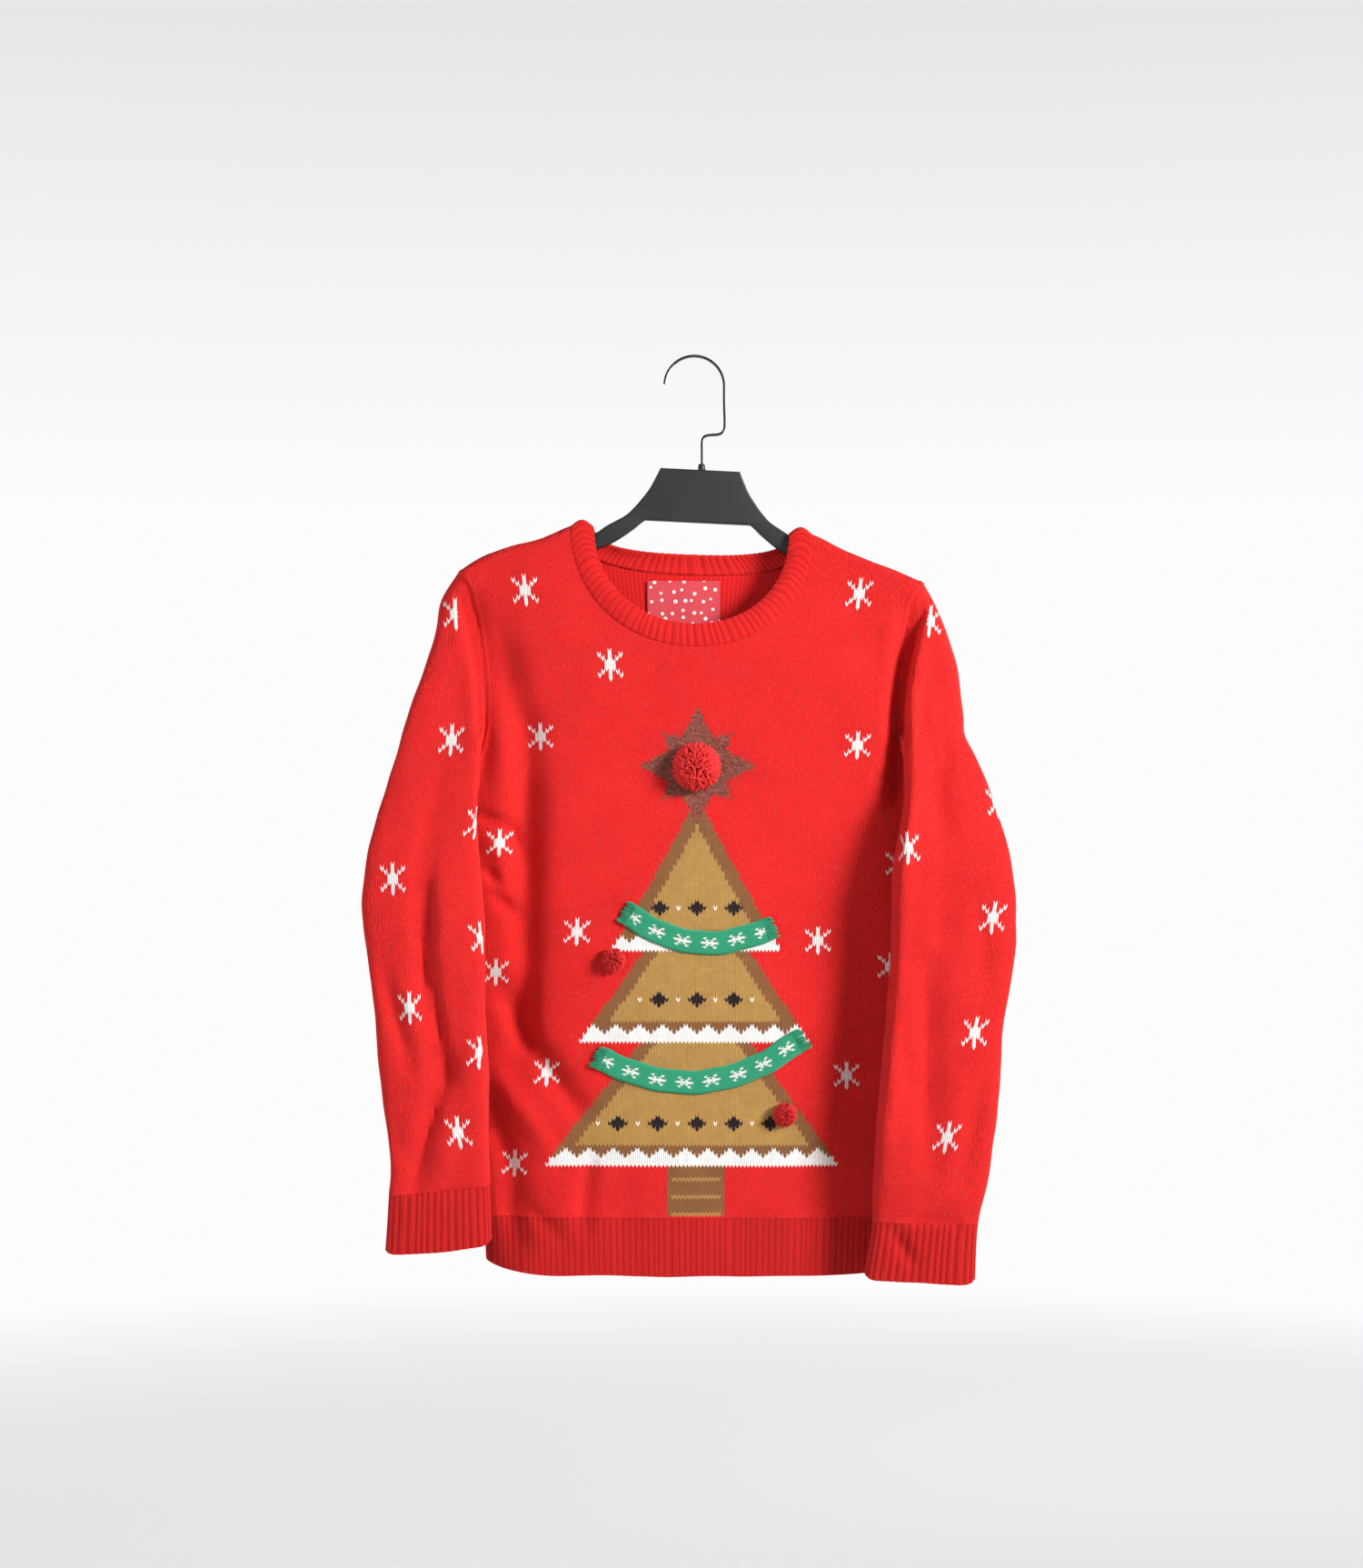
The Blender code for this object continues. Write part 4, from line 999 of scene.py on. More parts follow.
def ribbon_material(name):
    """Green knit with a row of small white flakes."""
    material, tree, shader = cloth_material(name, SHEEN_GREEN, 0.3)
    u, v = uv_numbers(tree, "knit")
    _, row, height = stitch(u, v)
    i = u.floor().size()
    j = ((row * (1.0 / RIBBON_REPEAT)).part() * RIBBON_REPEAT + 0.5).floor()
    j = (j - 5.0).size()
    arms, upright = (i - j).size().below(0.5) * i.below(2.5), i.below(0.5) * j.below(3.5)
    yarn = noise_number(tree, 900.0, 1.0)
    colour = blend_colours(tree, arms.most(upright) * height.ramp(0.12, 0.42), GREEN, WHITE)
    # Painted shade: the green darkens down between the stitches' legs. The yarn noise is its own
    # uneven tone.
    colour = scaled_colour(tree, colour, (height * 0.5 + 0.55) * (yarn * 0.24 + 0.88))
    finish_material(tree, shader, colour, height, 0.0007, 0.7)
    return material


def yarn_material(name, colour, tint):
    """Twisted yarn, with its turns counted along each strand."""
    material, tree, shader = new_material(name, 0.95, sheen=0.4, sheen_tint=tint, specular=0.15)
    u, v = uv_numbers(tree, "strand")
    height = 1.0 - ((v * 3.0 + u).part() * 2.0 - 1.0).size()
    fuzz = noise_number(tree, 700.0)
    # Painted shade: the yarn goes to a darker copy of its colour down in its twist, over a random
    # fuzz of its own.
    twist_shade = tuple(part * 0.75 for part in colour)
    shade = blend_colours(tree, height * 0.6 + fuzz * 0.5, twist_shade, colour)
    finish_material(tree, shader, shade, height, 0.0004, 0.8)
    return material


def label_material():
    """Satin with plain dots in place of the real label's writing."""
    material, tree, shader = new_material("label_satin", 0.42, sheen=0.2, sheen_tint=(1, 0.5, 0.5))
    u, v = uv_numbers(tree, "label")
    place = tree.nodes.new("ShaderNodeCombineXYZ")
    tree.links.new(u.socket, place.inputs[0])
    tree.links.new(v.socket, place.inputs[1])
    cells = tree.nodes.new("ShaderNodeTexVoronoi")
    cells.voronoi_dimensions = "2D"
    cells.inputs["Scale"].default_value = 1.0
    cells.inputs["Randomness"].default_value = 0.75
    tree.links.new(place.outputs[0], cells.inputs["Vector"])
    split = tree.nodes.new("ShaderNodeSeparateColor")
    tree.links.new(cells.outputs["Color"], split.inputs[0])
    radius = Number(tree, split.outputs[0]) * 0.09 + 0.11
    dots = (radius - Number(tree, cells.outputs["Distance"])).ramp(-0.01, 0.02)
    weave = ((u * 42.0).part() - 0.5).size()
    ground = blend_colours(tree, weave, (0.62, 0.042, 0.060), (0.70, 0.060, 0.078))
    colour = blend_colours(tree, dots, ground, WHITE)
    finish_material(tree, shader, colour, weave, 0.0001, 0.4)
    return material


def plastic_material():
    material, tree, shader = new_material("charcoal_plastic", 0.46, specular=0.45)
    grain, cloud = noise_number(tree, 1400.0), noise_number(tree, 30.0, 3.0)
    colour = blend_colours(tree, cloud.ramp(0.3, 0.7), (0.016, 0.0163, 0.0172),
                           (0.022, 0.0224, 0.0234))
    tree.links.new((cloud * 0.12 + 0.42).socket, shader.inputs["Roughness"])
    finish_material(tree, shader, colour, grain, 0.0001, 0.35)
    return material


def metal_material():
    material, tree, shader = new_material("black_metal", 0.34, metallic=0.85)
    scratches = noise_number(tree, 300.0, 3.0, 0.6, (1, 1, 0.08))
    colour = blend_colours(tree, scratches.ramp(0.45, 0.75), (0.022, 0.022, 0.024),
                           (0.075, 0.075, 0.080))
    tree.links.new((scratches * 0.25 + 0.22).socket, shader.inputs["Roughness"])
    finish_material(tree, shader, colour, scratches, 0.0001, 0.2)
    return material


# ---- Cloth ----
def spaced(edges, counts):
    """Places from the first edge to the last, with a count of steps from each to the next."""
    parts = [np.linspace(low, high, count, endpoint=False)
             for low, high, count in zip(edges, edges[1:], counts)]
    return np.concatenate(parts + [[edges[-1]]])


def stitches_at(x, z, left_lean):
    """Where a place on the front or back lies, in stitches. The wales lean in at the shoulders."""
    up = z - LEAN_FROM_Z
    lean = np.tanh(x / SHOULDER_LEAN_WIDE) * SHOULDER_LEAN * np.clip(up, 0, None) ** 2
    lean = lean + left_lean * LEFT_LEAN * np.clip(-x / LEFT_LEAN_WIDE, 0, 1) * up
    rows = (z - HEM_SEAM_Z) / COURSE
    rows = rows - np.clip(z - TOP_Z, 0, None) * (1 / COURSE - 1 / TOP_COURSE)
    return np.stack([(x - lean) / WALE, rows], axis=-1)


def motifs_at(flakes, outer, knit, hidden):
    """The stitches at the middles of snowflakes, which lie where the surface isn't hidden."""
    found = []
    for x, z, half in flakes:
        away = np.hypot(outer[..., 0] - x, outer[..., 2] - z) + hidden * 1.0
        spot = knit[:, :outer.shape[1]].reshape(-1, 2)[away.argmin()]
        found.append((math.floor(spot[0]), math.floor(spot[1]), half))
    return found


def distances(points, line):
    """How far points lie from each point (x and height) of a line, seen from the front."""
    return np.hypot(points[..., 0, None] - line[:, 0], points[..., 2, None] - line[:, 1])


def seam_distance(points, side, face):
    """How far points lie from the front or back half of an armhole seam."""
    ends = (0.0, 1.0) if face == FRONT else (1.0, 2.0)
    return distances(points, armhole(side, np.linspace(*ends, 170))[:, [0, 2]]).min(axis=-1)


def valley(points, side):
    """How far back points of the body lie in the valley along the seam and the sleeve's fold."""
    line = armhole(side, np.linspace(0.02, VALLEY_END, 120))[:, [0, 2]]
    last_x, last_z = line[-1]
    z = np.linspace(last_z, VALLEY_FOOT_Z, 60)
    inner = np.interp(z, SLEEVE_SECTIONS[side][:, 0], SLEEVE_SECTIONS[side][:, 2])
    x = last_x + (inner - last_x) * ease((last_z - z) / VALLEY_LEAD)
    away = distances(points, np.concatenate([line, np.column_stack([x, z])])).min(axis=-1)
    run_z, share = VALLEY_RUN[side].T
    return (VALLEY_DEEP[side] * np.exp(-((away / VALLEY_WIDE[side]) ** 2))
            * ease(np.interp(points[..., 2], run_z, share)))


def sleeve_valley(rows, side, round_it):
    """The same for a sleeve: a strip along the seam, and the step up to its fold."""
    line = armhole(side, np.linspace(0.02, VALLEY_END, 120))
    away = distances(rows, line[:, [0, 2]])
    nearest = away.argmin(axis=-1)
    away, deep = away.min(axis=-1), valley(line, side)[nearest]
    behind = round_it > VALLEY_END
    own = np.hypot(rows[..., 0] - rows[:1, :, 0], rows[..., 2] - rows[:1, :, 2])
    away[:, behind] = own[:, behind]
    deep[:, behind] = valley(rows[0], side)[None, behind]
    top, foot, step, crest = VALLEY_STRIP[side]
    past = away - (top + (foot - top) * ease(nearest / len(line)))
    sunk = deep * (1 - ease(past / step))
    high = crest * np.exp(-(((past - step - CREST_AT) / CREST_WIDE) ** 2))
    return sunk - np.where(behind, 0, high * deep / VALLEY_DEEP[side])


def outward_normals(points, face):
    """Normals of the front or back that point out of the garment."""
    normal = grid_normals(points, False)
    return normal * np.sign((normal[..., 1] * face).mean())


def make_body():
    """The front and the back, and their bare grids for what is laid on them."""
    half = spaced((0, 0.05, 1, 2, 3), (5, 44, 72, 56))
    places = np.concatenate([half, 6 - half[:-1][::-1]])
    share = np.linspace(0, 1, 100)
    rows = 1 - (0.5 * share + 0.5 * (1 - np.cos(math.pi * share)) / 2)
    fade = (ease((1 - rows) / 0.05) * ease(rows / 0.06))[:, None]
    pieces = {}
    for name, face, lean, flakes, cloth in (("front", FRONT, 1, BODY_FLAKES, knit_front),
                                            ("back", BACK, 0, (), knit_plain)):
        outer = panel(face, places, rows)
        normal = outward_normals(outer, face)
        near = np.minimum(seam_distance(outer, LEFT, face), seam_distance(outer, RIGHT, face))
        ridge = SEAM_RIDGE_HIGH * np.exp(-(((near - SEAM_RIDGE_AT) / SEAM_RIDGE_WIDE) ** 2))
        outer = outer + normal * (unrest(outer, BODY_UNREST, face) * fade + ridge)[..., None]
        if face == FRONT:
            outer[..., 1] += valley(outer, LEFT) + valley(outer, RIGHT)
            normal = outward_normals(outer, face)
        inner = outer - normal * CLOTH
        knit = stitches_at(outer[..., 0], outer[..., 2], lean)
        if face == BACK:
            outer, inner, knit = outer[:, ::-1], inner[:, ::-1], knit[:, ::-1]
        hidden = grid_normals(outer, False)[..., 1] > 0
        pieces[name] = wall("jumper_" + name, outer, inner, False, {"knit": knit},
                            [cloth, knit_inside], motifs_at(flakes, outer, knit, hidden))
        pieces[name + "_outer"], pieces[name + "_inner"] = outer, inner
    return pieces


def uneven(phase, ribs):
    """Phases of ribs whose widths vary a little."""
    turn = 2 * math.pi * phase / ribs
    for share, wide in RIB_WAVES:
        phase = phase + wide * np.sin(round(share * ribs) * turn + share * 40)
    return phase


def rib_profile(phase):
    """A rib's height over its furrow: 1 on the ridge, 0 in the furrow."""
    aside = np.abs(phase - np.floor(phase) - 0.5) * 2
    return 0.5 + 0.5 * np.cos(math.pi * np.clip(aside, 0, 1) ** 1.15)


def ribbed_wall(name, base, ribs, deep, from_seam, up, cloth):
    """A ring of ribbed cloth on a smooth one. The ribs rise where from_seam goes from 0 to 1."""
    normal, columns = grid_normals(base, True), base.shape[1]
    phase = np.tile(uneven(np.linspace(0, ribs, columns + 1), ribs), (len(base), 1))
    profile, fade = rib_profile(phase)[:, :columns], (ease(from_seam) * 0.9 + 0.1)[:, None]
    outer = base - normal * ((1 - profile) * deep * fade)[..., None]
    inner = base - normal * (RIB_CLOTH - deep * 0.8 * profile * fade)[..., None]
    knit = along_grid(up / COURSE, phase)
    return wall(name, outer, inner, True, {"knit": knit}, [cloth])


def make_hem():
    around = np.linspace(-1, 1, HEM_RIBS * RIB_FINE // 2 + 1)
    levels = np.concatenate([np.linspace(0, 0.9, 12), [0.95, 0.98, 1.0]])
    base = np.array([np.concatenate([hem_ring(FRONT, around, level),
                                     hem_ring(BACK, around[::-1][1:-1], level)])
                     for level in levels])
    base[..., 2] += unrest(base, HEM_UNREST, 0) * (1 - levels)[:, None]
    return ribbed_wall("jumper_hem", base, HEM_RIBS, HEM_RIB_DEEP, (1 - levels) / 0.05,
                       levels * HEM_HIGH, hem_cloth_shaded)


def make_neckband():
    """Rib folded double: from the seam over the free edge and down inside to the seam."""
    turn = np.linspace(0, math.pi, NECK_RIBS * RIB_FINE // 2 + 1)
    halves = [neck_half(FRONT, turn), neck_half(BACK, turn[::-1][1:-1])]
    seam, edge, outward = (np.concatenate(parts) for parts in zip(*halves))
    crown = edge - seam
    base = np.array([seam + crown * row + outward * math.sin(math.pi * row)
                     for row in np.linspace(0, 1, 12)])
    normal = grid_normals(base, True)
    tip, half = unit_rows(crown), NECKBAND_CLOTH / 2
    fold = [base[-1] + tip * half * math.sin(a) * 0.9 - normal[-1] * half * (1 - math.cos(a))
            for a in np.radians((36, 72, 108, 144))]
    loop = np.concatenate([base, fold, (base - normal * NECKBAND_CLOTH)[::-1]])
    length = path_lengths(loop)
    lean = (NECK_RIB_LEAN * length / length[-1])[:, None]
    phase = uneven(np.linspace(0, NECK_RIBS, loop.shape[1] + 1) + lean, NECK_RIBS)
    fade = np.minimum(1, np.minimum(length, length[-1] - length) / 0.002) * 0.9 + 0.1
    sunk = (1 - rib_profile(phase)[:, :-1]) * NECK_RIB_DEEP * fade[:, None]
    loop = loop - grid_normals(loop, True) * sunk[..., None]
    knit = along_grid(length / COURSE, phase)
    faces, cells = grid_quads(*loop.shape[:2], True, True)
    return new_piece("jumper_neckband", loop.reshape(-1, 3).tolist(), faces.tolist(),
                     [band_cloth], {"knit": knit.reshape(-1, 2)[cells]})


def slice_lengths(rows):
    """How far each point lies from the first column, along a level slice of the surface."""
    level = np.minimum.accumulate(rows[..., 2], axis=0)
    turned = np.interp(level, *CAP_DEPTH)
    lengths = np.zeros(rows.shape[:2])

    def at(k, z):
        up = level[::-1, k]
        return [np.interp(z, up, rows[::-1, k, axis]) for axis in (0, 1)]

    for k in range(1, rows.shape[1]):
        z = level[:, k:]
        (x0, y0), (x1, y1) = at(k - 1, z), at(k, z)
        lengths[:, k:] += np.hypot(x1 - x0, (y1 - y0) * turned[:, k:])
    return lengths


def sleeve_stitches(rows, side, seam, foot_z):
    """Where a sleeve's points lie in stitches, from column seam once round to it again."""
    ahead = slice_lengths(rows[:, :seam + 1])
    behind = slice_lengths(np.concatenate([rows[:, :1], rows[:, :seam - 1:-1]], axis=1))
    around = np.concatenate([-behind[:, :0:-1], ahead], axis=1)
    height = np.roll(rows[..., 2], -seam, axis=1)
    height = np.concatenate([height, height[:, :1]], axis=1)
    edge_x = np.interp(height, rows[::-1, 0, 2], rows[::-1, 0, 0])
    middle, slant = SLEEVE_WALES[side]
    wale_x = middle + slant * (height - SLEEVE_WALES_Z)
    across = around - side * (edge_x - wale_x) * SLEEVE_SPREAD
    return np.stack([-side * across / SLEEVE_WALE, (height - foot_z) / SLEEVE_COURSE], axis=-1)


def make_sleeve(side, word):
    """The cap and the free sleeve in one wall, with its UV seam at the underarm."""
    fallen = spaced((0, 0.06, 0.8, 1), (6, 56, 22))
    rear = 2 - spaced((0, 0.06, 0.8, 1), (4, 34, 16))[::-1]
    round_it, seam = np.concatenate([fallen, rear[1:-1]]), len(fallen) - 1
    foot_z, joint_z = SLEEVE_SECTIONS[side][[1, -1], 0]
    caps = spaced((0, 0.16, 1), (20, 42))[:-1]
    rows = sleeve(side, round_it, caps, np.linspace(joint_z, foot_z, 92))
    low, high = len(caps) - JOINT_ROWS, len(caps) + JOINT_ROWS + 2
    for _ in range(JOINT_ROUNDS):
        near = rows[low:high].copy()
        rows[low + 1:high - 1] = (near[:-2] + 2 * near[1:-1] + near[2:]) / 4
    angle, normal = sleeve_angle(round_it), grid_normals(rows, True)
    normal = normal * (np.sign((normal[-20:, :, 0] * np.cos(angle)).mean()) * side)
    down = np.arange(len(rows)) / (len(rows) - 1)
    fade = (ease(down / 0.10) * ease((1 - down) / 0.03))[:, None]
    rows = rows + normal * (unrest(rows, SLEEVE_UNREST, side) * fade)[..., None]
    front_lines = ease((1.0 - round_it) / 0.15) * (round_it < 1)
    rows[..., 1] += sleeve_valley(rows, side, round_it) * front_lines
    knit = sleeve_stitches(rows, side, seam, foot_z)
    outer, normal = (np.roll(part, -seam, axis=1) for part in (rows, normal))
    inner = outer - normal * CLOTH
    at_rear = np.sin(np.roll(angle, -seam)) <= 0.02
    motifs = (motifs_at(SLEEVE_FLAKES[side], outer, knit, at_rear)
              + motifs_at(REAR_SLEEVE_FLAKES[side], outer, knit, ~at_rear))
    if side == LEFT:
        outer, inner, knit = outer[::-1], inner[::-1], knit[::-1]
    return wall("jumper_sleeve_" + word, outer, inner, True, {"knit": knit},
                [knit_plain, knit_inside], motifs)


def make_cuff(side, word):
    """Its ribs follow the sleeve down, evenly round it."""
    low, high = SLEEVE_SECTIONS[side][:2, 0]
    steps = np.concatenate([[0, 0.02, 0.05], np.linspace(0.1, 1, 11)])[::side]
    dense = np.linspace(0, 2 * math.pi, 2001)
    run = path_lengths(sleeve_section(side, high, dense))
    even = np.linspace(0, run[-1], CUFF_RIBS * CUFF_FINE, endpoint=False)
    even = np.interp(even, run, dense)
    base = np.array([sleeve_section(side, high + (low - high) * step, even) for step in steps])
    base[..., 2] += unrest(base, CUFF_UNREST, side) * steps[:, None]
    base[..., 2] += CUFF_CORNER_RISE * np.cos(even) ** CUFF_CORNER * steps[:, None] ** 4
    return ribbed_wall("jumper_cuff_" + word, base, CUFF_RIBS, RIB_DEEP, steps / 0.06,
                       -steps * CUFF_HIGH, cuff_cloth_shaded)


# ---- Applied pieces ----
def depth_field(surface):
    """A function that reads a panel's depth at x and z."""
    flat = surface.reshape(-1, 3)

    def read(x, z):
        found = []
        for a, b in zip(np.ravel(x), np.ravel(z)):
            away = (flat[:, 0] - a) ** 2 + (flat[:, 2] - b) ** 2
            near = np.argpartition(away, 8)[:8]
            weight = 1 / (away[near] + 1e-8)
            found.append((flat[near, 1] * weight).sum() / weight.sum())
        return np.array(found).reshape(np.shape(x))

    return read


def make_label(inside):
    left, right, bottom, top = LABEL_BOX
    x, z = np.meshgrid(np.linspace(left, right, 33), np.linspace(bottom, top, 21))
    fallen = (top - z) / (top - bottom)
    curl = LABEL_SIDE_CURL * (np.abs((x - left) / (right - left) - 0.5) * 2) ** 6
    curl = curl + LABEL_FOOT_CURL * fallen**8
    ripple = LABEL_RIPPLE * (1 + np.sin((x - left) * 210) * fallen)
    y = depth_field(inside)(x, z) - LAID_GAP - curl - ripple
    near = np.stack([x, y, z], axis=-1)
    place = np.stack([x - left, z - bottom], axis=-1) / LABEL_DOTS
    return wall("jumper_label", near - (0, LABEL_CLOTH, 0), near, False, {"label": place},
                [label_satin])


class Strands:
    """Round strands of yarn that make up one piece."""

    UP = (0.31, 0.77, 0.55)  # no strand runs this way

    def __init__(self, sides):
        self.sides, self.points, self.faces, self.corners = sides, [], [], []

    def add(self, route, thick):
        """A strand along a route, closed at both ends."""
        route, sides = np.array(route, float), self.sides
        run = unit_rows(np.gradient(route, axis=0))
        aside = unit_rows(np.cross(run, self.UP))
        other = np.cross(run, aside)
        turn = (2 * math.pi * np.arange(sides) / sides)[:, None]
        spokes = aside[:, None] * np.cos(turn) + other[:, None] * np.sin(turn)
        self.faces += ring_faces(len(self.points), len(route), sides)
        self.points += (route[:, None] + thick[:, None, None] * spokes).reshape(-1, 3).tolist()
        self.corners += [((s + right) / sides, k + up)
                         for k in range(len(route) - 1) for s in range(sides)
                         for right, up in ((0, 0), (1, 0), (1, 1), (0, 1))]
        self.corners += [(s / sides, end) for end in (0, len(route)) for s in range(sides)]

    def piece(self, name, material):
        return new_piece(name, self.points, self.faces, [material], {"strand": self.corners})


def make_fringe(name, course, total, read, dice):
    """Pairs of strands that leave both ends of a garland."""
    strands = Strands(5)
    for at, sign in ((FRINGE, -1), (total - FRINGE, 1)):
        here, ahead = smooth(course, at), smooth(course, at + 0.002)
        way = unit_rows(ahead - here) * sign
        side_way = np.array([-way[1], way[0]])
        for k in range(FRINGE_PAIRS):
            across = (k + 0.5) / FRINGE_PAIRS - 0.5
            for bend in (-1, 1):
                start = here + side_way * (across * GARLAND_WIDE * 0.94 + bend * 0.0005)
                reach = FRINGE * dice.uniform(0.72, 0.98)
                swing = dice.uniform(-FRINGE_SWING, FRINGE_SWING)
                points = []
                for t in np.linspace(-0.12, 1, len(FRINGE_YARN)):
                    x, z = start + way * reach * t + side_way * swing * t * t
                    z -= FRINGE_SAG * max(t, 0) ** 2
                    lift = FRINGE_LIFT + 0.0007 * (bend + 1) / 2 + 0.0004 * math.sin(t * 7 + k)
                    points.append((x, float(read(x, z)) - LAID_GAP - lift, z))
                strands.add(points, FRINGE_YARN)
    return strands.piece(name, yarn_green)


def make_garlands(outside):
    pieces = {}
    read = depth_field(outside)
    dice = random.Random(11)
    for name, route in GARLANDS.items():
        along = path_lengths(route)
        course, total = np.column_stack([along, route]), along[-1]
        steps = np.linspace(FRINGE, total - FRINGE, 90)
        x, z = smooth(course, steps)
        run = np.gradient(np.stack([x, z]), axis=1)
        run /= np.hypot(*run)
        wide = np.linspace(-0.5, 0.5, 13)[:, None]
        aside = wide * GARLAND_WIDE * 0.97 + GARLAND_SWAY * np.sin(steps * 190)
        x, z = x - run[1] * aside, z + run[0] * aside
        under = read(x, z) - LAID_GAP
        edge = 0.35 + 0.65 * quarter((0.5 - np.abs(wide)) / 0.10)
        lift = np.abs(GARLAND_LIFT * np.sin(steps * 120 + 1.0) * (wide > 0) * wide * 2)
        near = np.stack([x, under - lift * 0.5, z], axis=-1)
        far = np.stack([x, under - edge * GARLAND_CLOTH - lift, z], axis=-1)
        knit = np.stack(np.broadcast_arrays(wide * GARLAND_WALES + 0.5, steps / GARLAND_COURSE),
                        axis=-1)
        pieces[name] = wall("jumper_" + name, far, near, False, {"knit": knit}, [ribbon_green])
        pieces[name + "_fringe"] = make_fringe("jumper_" + name + "_fringe", course, total, read,
                                               dice)
    return pieces


def make_pompoms():
    """Balls of cut yarn: strands that fan out from where each is sewn down."""
    pieces = {}
    golden = math.pi * (3 - math.sqrt(5))
    for name, half in POMPOM_HALF.items():
        low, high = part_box(name)
        middle = np.array([(low[0] + high[0]) / 2, high[1] - POMPOM_ROOT * (high[1] - low[1]),
                           (low[2] + high[2]) / 2])
        dice = random.Random(len(name) * 7 + int(half * 1e5))
        count = int(POMPOM_STRANDS * (half / POMPOM_HALF["pompom_star"]) ** 1.6)
        strands = Strands(4)
        for k in range(count):
            y = 1 - 2 * (k + 0.5) / count
            if -y > POMPOM_ROOT:
                continue
            flat = math.sqrt(1 - y * y)
            way = np.array([flat * math.cos(golden * k), -y, flat * math.sin(golden * k)])
            reach = np.array([half, middle[1] - low[1] if y > 0 else high[1] - middle[1], half])
            way = unit_rows(way + np.array([dice.gauss(0, 0.07) for _ in range(3)]))
            tip = way * reach * dice.uniform(0.86, 1.0)
            bend = np.array([dice.gauss(0, 0.05) for _ in range(3)]) * half
            points = np.array([middle + tip * t + bend * t * (1 - t)
                               for t in (0.30, 0.55, 0.80, 1.0)])
            points[:, 1] = np.minimum(points[:, 1], high[1] - 0.0002)
            strands.add(points, half * POMPOM_YARN)
        pieces[name] = strands.piece("jumper_" + name, yarn_red)
    return pieces


# ---- Hanger ----
def hanger_place(across, height):
    lean_x, lean_z = math.cos(HANGER_LEAN), math.sin(HANGER_LEAN)
    return (HANGER_TOP[0] + across * lean_x + height * lean_z,
            HANGER_TOP[1] - across * lean_z + height * lean_x)


def spline(points, per=6):
    """Points on a smooth curve through the given ones, which stay on it."""
    points = np.asarray(points, float)
    ends = np.concatenate([points[:1] * 2 - points[1:2], points, points[-1:] * 2 - points[-2:-1]])
    found = []
    for a, b, c, d in zip(ends, ends[1:], ends[2:], ends[3:]):
        for t in np.linspace(0, 1, per, endpoint=False):
            found.append(0.5 * (2 * b + (c - a) * t + (2 * a - 5 * b + 4 * c - d) * t * t
                                + (3 * b - a - 3 * c + d) * t**3))
    return np.array(found + [points[-1]])


def arm_outline(side):
    upper = [hanger_place(side * half, height) for half, height in HANGER_UPPER]
    rest = CLOTH + ARM_REST_GAP
    upper += [(side * x, float(shoulder_height(side * x)) - rest) for x in ARM_STATIONS]
    tip_x, tip_z = upper[-1]
    end_x = side * ARM_END
    lower = [(end_x, tip_z - 0.35 * ARM_DEEP), (end_x, tip_z - 0.75 * ARM_DEEP),
             (tip_x - side * 0.001, tip_z - 0.95 * ARM_DEEP)]
    lower += [(side * x, float(shoulder_height(side * x)) - rest - ARM_DEEP)
              for x in ARM_STATIONS[-2::-1]]
    lower += [hanger_place(side * half, height) for half, height in HANGER_LOWER[::-1]]
    return np.concatenate([spline(upper, 5)[:-1], spline([upper[-1]] + lower, 5)])


def make_hanger():
    """The block and arms: one outline, with its edges rounded over to both faces."""
    outline = np.concatenate([arm_outline(RIGHT), arm_outline(LEFT)[::-1]])
    keep = [0]
    for k in range(1, len(outline)):
        if np.linalg.norm(outline[k] - outline[keep[-1]]) > 0.0006:
            keep.append(k)
    outline = outline[keep]
    following = np.roll(outline, -1, axis=0)
    ahead = unit_rows(following - outline)
    both = ahead + np.roll(ahead, 1, axis=0)
    inwards = unit_rows(np.column_stack([-both[:, 1], both[:, 0]]))
    inwards *= np.sign((outline[:, 0] * following[:, 1] - outline[:, 1] * following[:, 0]).sum())
    rings = [(HANGER_ROUND * (1 - math.sin(a)),
              HANGER_ROUND * (1 - math.cos(a)) - HANGER_THICK / 2)
             for a in np.radians((0, 22, 45, 68, 90))]
    rings += [(inset, -y) for inset, y in rings[::-1]]
    points = [(x, y, z) for inset, y in rings for x, z in outline + inwards * inset]
    return new_piece("hanger_arms", points, ring_faces(0, len(rings), len(outline)), [plastic],
                     sharp=35, turn=True)


